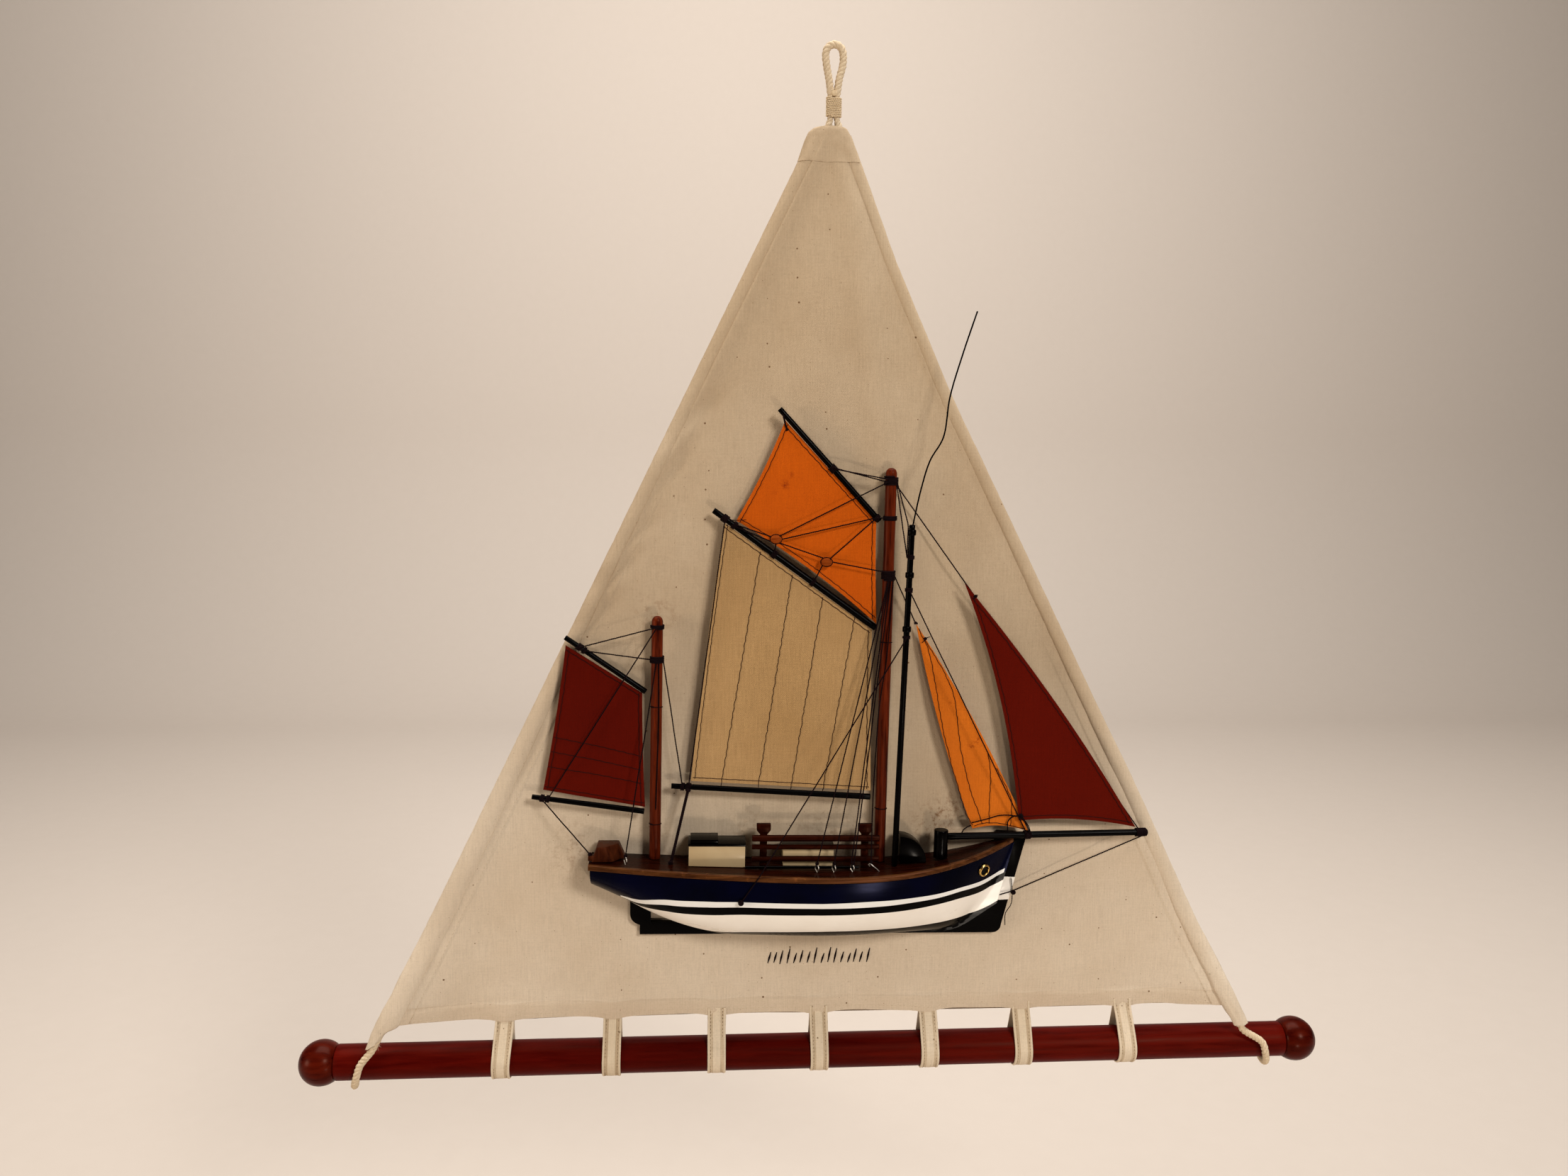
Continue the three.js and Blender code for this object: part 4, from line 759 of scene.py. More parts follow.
# The canvas: a panel with a hem down each side, a folded cap at the top and a folded foot
PUCKERS = [
    # x and z of both ends, half width, depth towards the wall
    (-78, -232, -114, -265, 6.0, 1.7),
    (-99, -268, -137, -322, 6.5, 2.3),
    (-122, -316, -150, -341, 5.5, 1.9),
    (-136, -341, -163, -368, 6.0, 2.1),
    (-152, -374, -178, -396, 6.5, 1.9),
    (-181, -418, -198, -442, 6.5, 1.4),
    (-90, -248, -122, -282, 5.5, -1.1),
    (-111, -292, -141, -329, 5.5, -1.2),
    (-131, -331, -154, -352, 5.0, -1.1),
    (-146, -360, -169, -381, 5.5, -1.1),
    (-204, -470, -222, -500, 7.0, 1.2),
    (10, -78, 34, -255, 12.0, -2.6),
    (34, -255, 62, -420, 20.0, -2.2),
    (40, -96, 84, -300, 15.0, 1.6),
    (-22, -100, -48, -250, 16.0, 1.4),
    (-10, -200, -30, -330, 18.0, -1.0),
    (118, -390, 152, -470, 11.0, -1.2),
    (136, -360, 170, -440, 9.0, 1.3),
    (-225, -560, -250, -640, 14.0, 1.1),
    (196, -520, 236, -610, 12.0, 1.2),
    (214, -500, 252, -585, 9.0, -1.0),
    (-240, -652, -120, -660, 9.0, 0.7),
    (40, -655, 190, -650, 9.0, -0.7),
]


def near_ship(x, z):
    """1 where the half hull lies on the canvas, which is flat there."""
    return smooth(z, -672, -635) * smooth(-z, 480, 520) * smooth(abs(x + 15), 200, 160)


def relief(x, z):
    """Depth of the folds and waves of the canvas, towards the wall."""
    out = 0.0
    for x0, z0, x1, z1, width, depth in PUCKERS:
        dx, dz = x1 - x0, z1 - z0
        length = math.hypot(dx, dz)
        t = ((x - x0) * dx + (z - z0) * dz) / length**2
        across = ((x - x0) * dz - (z - z0) * dx) / length / width
        if abs(across) > 3 or not -0.35 < t < 1.35:
            continue
        ends = smooth(t, -0.35, 0.2) * smooth(-t, -1.35, -0.8)
        out += depth * bell(across, 1) * ends
    out += 1.4 * wobble(x / 95, z / 140, 2.0) + 0.5 * wobble(x / 34, z / 50, 5.0)
    out += 0.2 * wobble(x / 11, z / 15, 9.0)
    return 1.5 * out * (1 - 0.93 * near_ship(x, z))


def foot_wave(x):
    """The foot dips where a loop pulls on it."""
    pull = sum(bell(x - loop_x, 13) for loop_x in LOOP_X)
    return 0.9 * wobble(x / 38, 1.0) + 0.6 - 1.7 * pull


def panel_point(x, z, level, side):
    """Depth of the panel's front (side 1) or back (side -1) at a point of the row at a level."""
    from_left = (x - edge_x(level, -1)) * HEM_COS
    from_right = (edge_x(level, 1) - x) * HEM_COS
    inner = min(from_left, from_right)
    hand = -1 if from_left < from_right else 1
    roll = rolled(level, hand)
    # One layer of cloth, with the turned in hem under it up to the seam
    sewn = seam_in(level, hand)
    faint = 1 - 0.85 * smooth(level, -330, -200)
    thick = 0.42 + 0.42 * (1 - smooth(inner, sewn - 0.3, sewn + 0.3)) * (1 - roll) * faint
    if side > 0:
        slope = 3.5 * bell(max(0.0, inner - TUBE_HALF), 6.5) * smooth(inner, 0.5, TUBE_HALF)
        thick += slope * smooth(level, -360, -200) * (1 - 0.6 * roll)
    # The turned up foot, its fold and the ends of the loops in it
    thick += 0.5 * (1 - smooth(z, CANVAS_FOOT + 10.9, CANVAS_FOOT + 11.9))
    thick -= 0.3 * bell(z - CANVAS_FOOT - 12.6, 1.0)
    tuck = sum(math.exp(-(((x - loop_x) / 7.4) ** 6)) for loop_x in LOOP_X)
    thick += 1.35 * tuck * (1 - smooth(z, CANVAS_FOOT + 3, CANVAS_FOOT + 12))
    over = roll * (1 - smooth(inner, 1, 9)) * 1.3
    corner = smooth(abs(x) / (half_width(level) - TUBE_HALF / HEM_COS), CORNER_START, 1)
    calm = smooth(inner, TUBE_HALF - 3, TUBE_HALF + 4)
    base = -corner * lift(level) + relief(x, z) * lerp(0.35, 1, calm)
    back = 2.0 * roll * (1 - smooth(inner, 2, 14))
    return base + back - side * thick - (over if side > 0 else 0)


def panel_front(x, z):
    return panel_point(x, z, z, 1)


# Distances of the columns from an edge, and heights of the rows over the foot
EDGE_COLUMNS = [0, 3.0, 4.3, 4.8, 5.3, 5.9, 6.8, 8.2, 9.8, 10.9, 11.2, 11.6, 12.6, 14.5]
FOOT_HEM = 11.9
FOOT_ROWS = [0, 0.5, 1.4, 2.8, 4.6, 6.6, 8.8, 10.6, 11.3, FOOT_HEM, 13.2, 15.6]
panel = Shape()
levels = [CANVAS_FOOT + h for h in FOOT_ROWS]
levels += list(np.linspace(CANVAS_FOOT + 19, CANVAS_TOP - 6, 150))
rows = []
for level in levels:
    low, high = edge_x(level, -1), edge_x(level, 1)
    fit = min(1.0, (high - low) / 2 / 17.5)
    wide_left, wide_right = seam_in(level, -1) / SEAM_IN, seam_in(level, 1) / SEAM_IN
    columns = [low + c * wide_left * fit / HEM_COS for c in EDGE_COLUMNS]
    other = [high - c * wide_right * fit / HEM_COS for c in reversed(EDGE_COLUMNS)]
    columns += list(np.linspace(columns[-1], other[0], 126))[1:-1] + other
    front, back = [], []
    for x in columns:
        z = level + foot_wave(x) * (1 - smooth(level, CANVAS_FOOT, CANVAS_FOOT + 45))
        z += 2.5 * smooth(abs(x), 262, 300) * (1 - smooth(level, CANVAS_FOOT, CANVAS_FOOT + 60))
        front.append((x, panel_point(x, z, level, 1), z))
        back.append((x, panel_point(x, z, level, -1), z))
    rows.append(front + back[::-1])
hem_rows = FOOT_ROWS.index(FOOT_HEM)
panel.add(*painted(rows, lambda row, place: int(row < hem_rows), (1, 0)))

# The hem tubes, hollow, with wrinkled ends where the rope comes out
TUBE_STEPS = [*HEM_STEPS, -510, -450, -390, -330, -280, -235, -190, -143, -112, -82, -66, -58]
TUBE_WALL, TUBE_SIDES = 0.75, 28
for hand in (-1, 1):
    way = np.array((hand * SLOPE, 0, -1.0)) / math.hypot(1, SLOPE)
    across = np.array((hand * 1.0, 0, SLOPE)) / math.hypot(1, SLOPE)
    narrowed, slanted = (4.4, 5.5) if hand < 0 else (1.0, 1.5)
    outer, inner = [], []
    for p in route([hem_point(z, hand) for z in TUBE_STEPS], 3.2):
        z = p[2]
        mouth = 1 - smooth(z, HEM_END + 1, HEM_END + 20)
        crumple = 0.16 + 0.5 * (1 - smooth(z, HEM_END + 30, HEM_END + 110)) + 0.5 * mouth
        ring, hole = [], []
        for angle in circle(TUBE_SIDES):
            c, s = math.cos(angle), math.sin(angle)
            swell = crumple * wobble(z / 13, 2.2 * c + 7 * hand, 2.2 * s)
            swell += 0.22 * wobble(z / 4.5, 4 * c + 3 * hand, 4 * s)
            wide = tube_half(z, hand) + swell - narrowed * mouth
            deep = TUBE_DEEP + swell * 0.8 - 0.5 * mouth
            lean = way * mouth * (slanted * c + 0.7 * wobble(5 * c, 5 * s, hand))
            lean = lean - across * (max(0.0, wide - swell - TUBE_HALF) - 1.2 * smooth(-z, 600, 670))
            press = relief(p[0] + hand * wide * c * 0.7, z) * 0.35
            turned = np.array((0, press, 0)) + lean + p
            for wall, into in ((0, ring), (TUBE_WALL, hole)):
                into.append(turned + across * (wide - wall) * c + (0, (deep - wall) * s, 0))
        outer.append(ring)
        inner.append(hole)
    panel.add(*hollow(outer, inner))
    tip = hem_point(HEM_END, hand) + (-hand * 2.6, -1.5, 1.5)
    for seed, aim in ((11, (-0.5 * hand, -0.3, -1)), (13, (-0.9 * hand, -0.2, -0.8))):
        frayed(panel, tip, aim, 2, 3.0, 0.5, seed + hand, 0.09)
canvas = make("sail_canvas", panel, [canvas_cloth, foot_cloth], "canvas", ["canvas"], sharp=70)

# The folded cap over the top corner, open where the rope comes out: its edges at some heights
CAP_Z = [-75, -66, -60.2, -55.1, -52.2, -51.2, -50.7]
CAP_LEFT = [-24.6, -21.6, -19.6, -17.2, -13.6, -10.2, -6.5]
CAP_RIGHT = [19.0, 15.8, 13.4, 10.9, 9.1, 7.1, 4.6]
CAP_ROWS = [*np.linspace(-74.2, -56, 16), -55, -54, -53.2, -52.5, -51.9, -51.4, -51.0, -50.75]


def hem_front(x, z):
    """Depth of the front of the hem tubes at this spot, 0 clear of them."""
    front = 0.0
    for hand in (-1, 1):
        centre = hem_point(z, hand)
        off = (x - centre[0]) * HEM_COS / TUBE_HALF
        if abs(off) < 1:
            middle_y = centre[1] + 0.35 * relief(x, z)
            front = min(front, middle_y - TUBE_DEEP * math.sqrt(1 - off * off))
    return front


outer, inner = [], []
for z in CAP_ROWS:
    low, high = np.interp(z, CAP_Z, CAP_LEFT), np.interp(z, CAP_Z, CAP_RIGHT)
    middle, wide = (low + high) / 2, (high - low) / 2
    t = smooth(z, -74, -57)
    turn_in = smooth(z, -52.6, -50.6)
    ring, hole = [], []
    for angle in circle(56):
        u, s = math.cos(angle), math.sin(angle)
        humps = 1.1 + 3.3 * bell(abs(u) - 0.75, 0.3)
        flat = 3.4 - 0.5 * turn_in + 0.25 * wobble(u * 3, z / 5)
        depth = lerp(humps, flat, t) + 0.3 * wobble(u * 4, z / 4, 3.0)
        x = middle + wide * math.copysign(abs(u) ** 0.85, u)
        y = -math.copysign(abs(s) ** 0.55, s) * (depth if s > 0 else depth * 0.85)
        if s > 0:
            lying = min(panel_front(x, z) - 0.22, hem_front(x, z) - 0.45)
            y = lerp(lying * min(1.0, 4 * s), y, t)
        droop = 0.4 * wobble(u * 2.4, 5.0) * (1 - smooth(z, -74.2, -71))
        ring.append((x, y, z + droop))
        inside_x = middle + (x - middle) * 0.94
        hole.append((inside_x, y * lerp(0.94, 0.84, t), z + droop - 0.3 * turn_in))
    outer.append(ring)
    inner.append(hole)
cap = Shape()
cap.add(*hollow(outer, inner))
canvas_cap = make("canvas_cap", cap, [canvas_cloth], "canvas", sharp=70)

# Stitching along the hems and the foot
stitches = Shape()


def stitch_row(points, pitch, length, wire=0.15, dip=0.22):
    line = spaced(points, pitch)
    for a, b in zip(line[:-1], line[1:]):
        way = unit(b - a)
        start = a + way * (pitch - length) / 2
        ends = [start, start + way * length]
        middle = start + way * length * 0.5
        stitches.add(*tube([ends[0] + (0, dip, 0), middle, ends[1] + (0, dip, 0)], wire, 4))


for hand in (-1, 1):
    seam_line = []
    for z in np.linspace(CANVAS_FOOT + 3, CANVAS_TOP - 30, 200):
        x = edge_x(z, hand) - hand * (seam_in(z, hand) - 0.9) / HEM_COS
        seam_line.append((x, panel_front(x, z) - 0.03, z))
    stitch_row(seam_line, 3.1, 2.2)
FOOT_SEAM = CANVAS_FOOT + 3.4
foot_line = []
for x in np.linspace(-296, 290, 300):
    z = FOOT_SEAM + foot_wave(x)
    foot_line.append((x, panel_point(x, z, FOOT_SEAM, 1) - 0.03, z))
stitch_row(foot_line, 3.0, 2.1)
canvas_stitches = make("canvas_stitches", stitches, [stitch_thread], "canvas", sharp=80)

# The rod with its ball ends
ROD_ROWS = 120
rod = Shape()
profile = [(ROD_RADIUS - 0.8, 0), (ROD_RADIUS - 0.25, 0.2), (ROD_RADIUS, 0.8)]
for i in range(1, ROD_ROWS):
    h = 2 * ROD_HALF * i / ROD_ROWS
    profile.append((ROD_RADIUS + 0.05 * wobble(h / 40) - 0.02, h))
profile += [(r, 2 * ROD_HALF - h) for r, h in profile[2::-1]]
rod.add(*lathe(profile, lambda x, y, h: (h - ROD_HALF, x, ROD_Z + y), 72))
make("wooden_rod", rod, [rod_wood], "rod_wood", ["rod"], sharp=50)

BALL_RADIUS, BALL_FLAT, BALL_ROWS = 16.0, 12.2, 30
flat_angle = math.acos(BALL_FLAT / BALL_RADIUS)
base = BALL_RADIUS * math.sin(flat_angle)
profile = [(BALL_FLAT - 1.6, 0.0), (BALL_FLAT - 0.5, 0.0), (BALL_FLAT, 0.5)]
for i in range(1, BALL_ROWS):
    angle = lerp(-flat_angle, math.pi / 2, i / BALL_ROWS)
    profile.append((BALL_RADIUS * math.cos(angle), base + BALL_RADIUS * math.sin(angle)))
profile.append((0.15, base + BALL_RADIUS))
for name, hand in (("left", -1), ("right", 1)):
    ball = Shape()
    spot = hand * (ROD_HALF + GAP)
    ball.add(*lathe(profile, lambda x, y, h: (spot + hand * h, x, ROD_Z + y), 64))
    make("wooden_ball_" + name, ball, [ball_wood], "ball_wood", ["ball_end_" + name], sharp=50)

# The loops that carry the rod, sewn into the foot, each a strip with its edges folded in
LEANS = [-2.6, -0.6, -0.3, 0.3, 0.8, 0.6, 2.4]
STRAP_HALF, STRAP_CLEAR, STRAP_SEAM = 6.6, 0.65, 0.67
EDGE_LAY = [(-1, -0.35), (-1, 0.2), (-0.94, 0.6), (-0.8, 0.68), (-0.64, 0.3), (-0.4, 0.42)]
LAY = [*EDGE_LAY, (0, 0.5), *[(-x, y) for x, y in EDGE_LAY[::-1]]]
LAY += [(0.6, -0.62), (0, -0.6), (-0.6, -0.62)]
# Faces in the grooves by the folded edges, which take the painted shade and soiling
GROOVE_SHADE_AND_SOIL = (3, 4, 7, 8)

# The path of a strap: out of the foot, round the rod and back
leg = 0.5 + GAP + STRAP_CLEAR
bend = ROD_RADIUS + GAP + STRAP_CLEAR
height = CANVAS_FOOT - ROD_Z
touch = math.atan2(height, leg) - math.acos(bend / math.hypot(height, leg))
path = [(-leg * 0.75, CANVAS_FOOT + 5), (-leg * 0.9, CANVAS_FOOT + 1), (-leg, CANVAS_FOOT - 1)]
for angle in np.linspace(touch, -math.pi - touch, 27):
    path.append((-bend * math.cos(angle), ROD_Z + bend * math.sin(angle)))
path += [(-y, z) for y, z in path[2::-1]]
strap_line = spaced([(0, y, z) for y, z in path], 2.0)
tangent = np.gradient(strap_line, axis=0)
last = len(strap_line) - 1

loop_thread = Shape()
for i, (centre, lean) in enumerate(zip(LOOP_X, LEANS)):
    strap, rings, edges = Shape(), [], ([], [])
    for k, p in enumerate(strap_line):
        out = unit((0, -tangent[k][2], tangent[k][1]))
        if out[1] * p[1] + out[2] * (p[2] - ROD_Z) < 0:
            out = -out
        if k <= 3 or k >= last - 3:
            out = np.array((0, -1.0 if k <= 3 else 1.0, 0))
        t = k / last
        drift = centre + lean * math.sin(math.pi * t) + 0.35 * wobble(t * 3, i * 3.0)
        wide = STRAP_HALF * (1 + 0.04 * wobble(t * 4, i * 5.0 + 1))
        ring = []
        for x, y in LAY:
            rough = 0.12 * wobble(t * 12 + x, i * 2.0, 4.0)
            ring.append(p + np.array((drift + x * wide, 0, 0)) + out * (y + rough))
        rings.append(ring)
        for row, x in zip(edges, (-STRAP_SEAM, STRAP_SEAM)):
            row.append(p + np.array((drift + x * wide, 0, 0)) + out * 0.42)
    strap.add(*painted(rings, lambda row, place: int(place in GROOVE_SHADE_AND_SOIL), (0, 0)))
    cloths = [loop_cloth, groove_shade_and_soil_cloth]
    piece = make(f"canvas_loop_{i + 1}", strap, cloths, "canvas", [f"rod_loop_{i + 1}"], sharp=70)
    for row in edges:
        dots = spaced(row, 2.4)
        for k, (a, b) in enumerate(zip(dots[:-1], dots[1:])):
            worn = wobble(k * 0.37, i * 4.0, row[0][0])
            if worn > -0.18:
                reach = 0.42 + 0.3 * wobble(k * 1.7, i * 3.0)
                loop_thread.add(*tube([a, lerp(a, b, reach)], 0.15 + 0.14 * max(0, worn), 4))
make("loop_stitches", loop_thread, [tan_thread], "canvas", sharp=80)

# Ship: its own coordinates, on the canvas with its bow a little down
TILT = math.radians(0.75)
COS, SIN = math.cos(TILT), math.sin(TILT)
SHIP_Z = CANVAS_FOOT + 120.7


def afloat(points):
    """Ship coordinates to the part's."""
    p = np.atleast_2d(np.asarray(points, float))
    return np.stack(
        [p[:, 0] * COS + p[:, 2] * SIN, p[:, 1], SHIP_Z - p[:, 0] * SIN + p[:, 2] * COS], 1
    )


def at(x, y, z):
    return afloat((x, y, z))[0]


def ship_piece(name, shape, materials, slot, nodes=(), **more):
    shape.points = [tuple(p) for p in afloat(shape.points)]
    return make(name, shape, materials, slot, nodes, **more)


def fitting(name, bodies, material, slot, nodes=(), **more):
    """A piece of the ship from bodies of points and faces, all in one material."""
    shape = Shape()
    for body in bodies:
        shape.add(*body)
    return ship_piece(name, shape, [material], slot, nodes, **more)


def black(name, bodies, nodes=(), **more):
    return fitting(name, bodies, black_paint, "black_paint", nodes, **more)


def arc(x, y, radius, start, end, count):
    """Points on part of a circle."""
    turned = np.linspace(start, end, count)
    return [(x + radius * math.cos(a), y + radius * math.sin(a)) for a in turned]


HULL_AFT, HULL_WAIST, HULL_BOW = -165.5, -5.0, 138.0
BEAM_AFT, BEAM, BEAM_BOW = 28.6, 44, 3
# Where the stern's slope ends, where the bottom is deepest, and where the bow starts to rake
COUNTER_X, BILGE_X, RAKE_X = -139, -62, 82
DEPTH_AFT, DEPTH_COUNTER, DEPTH, DEPTH_BOW = 20.5, 33, 57, 36
BOARD_BACK, BOARD_FRONT, HULL_BACK = -0.8, -4.8, -5.1
DECK_THICK = 3.8


def half_breadth(x):
    if x < HULL_WAIST:
        return lerp(BEAM, BEAM_AFT, ((HULL_WAIST - x) / (HULL_WAIST - HULL_AFT)) ** 1.58)
    return lerp(BEAM, BEAM_BOW, min(1, (x - HULL_WAIST) / (HULL_BOW - HULL_WAIST + 5)) ** 2.37)


def deck_top(x):
    if x < 0:
        return -3.8 + 4.2 * (x / HULL_AFT) ** 1.6
    return -3.8 + 17.6 * (x / HULL_BOW) ** 2.6


def underside(x):
    if x < COUNTER_X:
        return -lerp(DEPTH_AFT, DEPTH_COUNTER, (x - HULL_AFT) / (COUNTER_X - HULL_AFT))
    if x < BILGE_X:
        share = (x - COUNTER_X) / (BILGE_X - COUNTER_X)
        return -lerp(DEPTH_COUNTER, DEPTH, math.sin(share * math.pi / 2) ** 0.9)
    return -lerp(DEPTH, DEPTH_BOW, max(0, (x - RAKE_X) / (HULL_BOW - RAKE_X)) ** 2)


def boxiness(x):
    """How square the hull's section is, from 1 for a wedge over 2 for round."""
    if x < HULL_WAIST:
        return lerp(2.7, 1.9, (HULL_WAIST - x) / (HULL_WAIST - HULL_AFT))
    return lerp(2.7, 1.25, ((x - HULL_WAIST) / (HULL_BOW - HULL_WAIST)) ** 1.5)


def skin(x, fall):
    """A point of the hull at a station, by its fall from the deck edge, 0, to the keel, 1."""
    top = deck_top(x) - DECK_THICK - GAP
    angle = fall * math.pi / 2
    power = 2 / boxiness(x)
    z = lerp(top, underside(x), math.sin(angle) ** power)
    breadth = max(2.2, half_breadth(x) * max(0.0, math.cos(angle)) ** power)
    lean = 0.24 * (z - top) * smooth(x, RAKE_X, HULL_BOW)
    return (x + lean, -max(breadth, -HULL_BACK + 2.2), z)


# The painted lines of the hull: fall of the skin, from deck edge to keel, at stations along it
LINES = {
    "stripe_top": [(-166, 0.62), (-144.8, 0.555), (-118, 0.268), (-90, 0.188), (-65, 0.149),
                   (-5, 0.12), (26.4, 0.122), (58, 0.152), (67.6, 0.166), (82, 0.19),
                   (92.5, 0.201), (102, 0.232), (122.7, 0.336), (138, 0.395)],
    "stripe_foot": [(-166, 0.72), (-143.3, 0.66), (-118, 0.352), (-90, 0.253), (-65, 0.2),
                    (-5, 0.164), (26.7, 0.176), (61, 0.2), (71, 0.215), (82, 0.23),
                    (92, 0.237), (102, 0.272), (122.5, 0.385), (138, 0.44)],
    "band_top": [(-166, 0.76), (-138.8, 0.708), (-118, 0.475), (-90, 0.355), (-65, 0.283),
                 (-5, 0.235), (27, 0.248), (61, 0.278), (71, 0.285), (82, 0.297), (92, 0.311),
                 (102, 0.347), (122.5, 0.475), (127.6, 0.5), (138, 0.53)],
    "band_foot": [(-166, 0.8), (-138.8, 0.735), (-122.7, 0.751), (-107.6, 0.73), (-85.7, 0.7),
                  (-64.2, 0.602), (-50, 0.573), (-3.3, 0.497), (28.7, 0.517), (60, 0.55),
                  (71, 0.56), (82, 0.562), (92, 0.576), (102, 0.623), (125.6, 0.79),
                  (138, 0.863)],
}


def soft_line(name, x):
    """A painted line's fall at a station, with its corners rounded off."""
    xs, falls = zip(*LINES[name])
    return float(np.mean([np.interp(x + d, xs, falls) for d in (-7, -3.5, 0, 3.5, 7)]))


# The hull's stations, and how many rows of faces lie above each painted line and below the last
ROWS = (5, 1, 2, 6, 5)
NAVY, STRIPE, BAND, BOTTOM = range(4)
stations = []
for u in np.linspace(0, 1, 151):
    share = 0.5 - 0.5 * math.cos(u * math.pi) * 0.35 + (u - 0.5) * 0.65
    stations.append(lerp(HULL_AFT, HULL_BOW, share))
rings = []
for x in stations:
    falls = [0.0, *(soft_line(name, x) for name in LINES), 1.0]
    marks = [0.0]
    for k, count in enumerate(ROWS):
        marks += [lerp(falls[k], falls[k + 1], c / count) for c in range(1, count + 1)]
    ring = [skin(x, m) for m in marks]
    rings.append(ring + [(p[0], HULL_BACK, p[2]) for p in ring[::-1]])


def strake(station, row):
    """The paint of a face of the hull."""
    x = (stations[station] + stations[station + 1]) / 2
    if row == 5:
        return STRIPE if -144.5 < x < 136 else NAVY
    if 8 <= row < 14:
        return BAND if x > COUNTER_X else NAVY
    return BOTTOM if row > 5 else NAVY


hull = Shape()
hull.add(*painted(rings, strake, (NAVY, NAVY)))
hull_paints = [navy_paint, stripe_paint, band_paint, black_paint]
ship_piece("painted_hull", hull, hull_paints, "navy_paint", ["hull"], sharp=35)

# Keel board with a hole by the rudder, and the white patch on the stem
KEEL, BOW_BEND = -59.2, 6
RUDDER_X, KEEL_AFT, KEEL_FORE = -138.9, -131.9, 125.6
BOARD_AFT, BOARD_FORE = -159.5, 138.2


def stem(z):
    return 131.6 + (z - KEEL - BOW_BEND) * 0.24


def flat_plate(outline, back, front, holes=()):
    """A flat plate from an outline in the ship's plane, with holes, between two depths."""
    work = bmesh.new()
    edges = []
    for loop in (outline, *holes):
        verts = [work.verts.new((x, back, z)) for x, z in loop]
        edges += [work.edges.new(pair) for pair in zip(verts, verts[1:] + verts[:1])]
    bmesh.ops.triangle_fill(work, use_beauty=True, edges=edges)
    made = bmesh.ops.extrude_face_region(work, geom=list(work.faces))
    moved = [g for g in made["geom"] if isinstance(g, bmesh.types.BMVert)]
    bmesh.ops.translate(work, verts=moved, vec=(0, front - back, 0))
    work.verts.index_update()
    points = [tuple(v.co) for v in work.verts]
    faces = [[v.index for v in f.verts] for f in work.faces]
    work.free()
    return points, faces


def curve(start, control, end, t):
    """A point of the curve from start to end that is drawn towards control."""
    start, control, end = (np.asarray(p, float) for p in (start, control, end))
    return (1 - t) ** 2 * start + 2 * t * (1 - t) * control + t**2 * end


outline = [(RUDDER_X, -34.0), (RUDDER_X, KEEL + 15.5)]
for t in np.linspace(0, 1, 7)[1:]:
    heel = ((RUDDER_X, KEEL + 15.5), (RUDDER_X, KEEL + 9), (KEEL_AFT, KEEL + 7))
    outline.append(tuple(curve(*heel, t)))
outline += [(KEEL_AFT, KEEL), (KEEL_FORE, KEEL)]
outline += arc(KEEL_FORE, KEEL + BOW_BEND, BOW_BEND, -math.pi / 2, 0, 7)[1:]
outline += [(stem(-34), -34.0), (stem(-17), -17.0), (stem(12), 12.0), (BOARD_FORE, 12.0)]
for x in np.linspace(BOARD_FORE, BOARD_AFT, 25):
    outline.append((x, deck_top(x) - DECK_THICK - GAP))
outline += [(BOARD_AFT, -19.5)]
hole = [(-124.1, KEEL + 9.2), (-124.1, KEEL + 22.2), (-105.1, KEEL + 22.2), (-105.1, KEEL + 9.2)]
board = flat_plate(outline, BOARD_BACK, BOARD_FRONT, [hole])
black("painted_keel_board", [board], ["keel_board"], bevel=0.35)
outline = [(129.0, -16.6), (stem(-17.2) + 0.25, -17.2), (stem(-34) + 0.25, -34), (124.0, -34.6)]
patch = flat_plate(outline, BOARD_FRONT - 0.02, BOARD_FRONT - 0.35)
fitting("stem_paint", [patch], band_paint, "white_paint", bevel=0.1)

# Deck plank with a rounded front edge, which takes a lighter copy of the deck wood as painted
# highlight
EDGE_TOP, EDGE_FOOT = 1.3, 0.8
rings = []
for x in np.linspace(HULL_AFT - 1.2, HULL_BOW - 0.5, 121):
    inside_x = max(HULL_AFT, x)
    top = deck_top(inside_x)
    low = top - DECK_THICK
    front = -half_breadth(inside_x) - 0.8
    start = front + EDGE_TOP
    ring = [(BOARD_BACK, top), (start + 1.6, top), (start + 0.6, top)]
    ring += arc(start, top - EDGE_TOP, EDGE_TOP, math.pi / 2, math.pi, 7)
    ring += arc(front + EDGE_FOOT, low + EDGE_FOOT, EDGE_FOOT, math.pi, math.pi * 1.5, 4)
    ring += [(BOARD_BACK, low)]
    rings.append([(x, y, z) for y, z in ring])
# Faces of the rounded front edge, which take the lighter wood as painted highlight
lit_edge_faces = range(1, len(rings[0]) - 2)
deck = Shape()
deck.add(*painted(rings, lambda row, place: int(place in lit_edge_faces), (1, 1)))
ship_piece("deck_plank", deck, [deck_wood, lit_edge_wood], "deck_wood", ["deck"], sharp=45)


def deck_under(x, half):
    """The foot of a piece that stands on the deck, half its width to each side of x."""
    return max(deck_top(x - half), deck_top(x + half)) + GAP


def box(x0, x1, y0, y1, z0, z1):
    """A block between the given limits. z0 and z1 may each be one height or one for each end."""
    corners = []
    for z in (z0, z1):
        a, b = z if isinstance(z, tuple) else (z, z)
        corners += [(x0, y0, a), (x1, y0, b), (x1, y1, b), (x0, y1, a)]
    faces = [(3, 2, 1, 0), (4, 5, 6, 7)]
    return corners, faces + [(i, (i + 1) % 4, (i + 1) % 4 + 4, i + 4) for i in range(4)]


def on_deck(x0, x1):
    """The foot of a block on the deck, at both of its ends."""
    return deck_top(x0) + GAP, deck_top(x1) + GAP


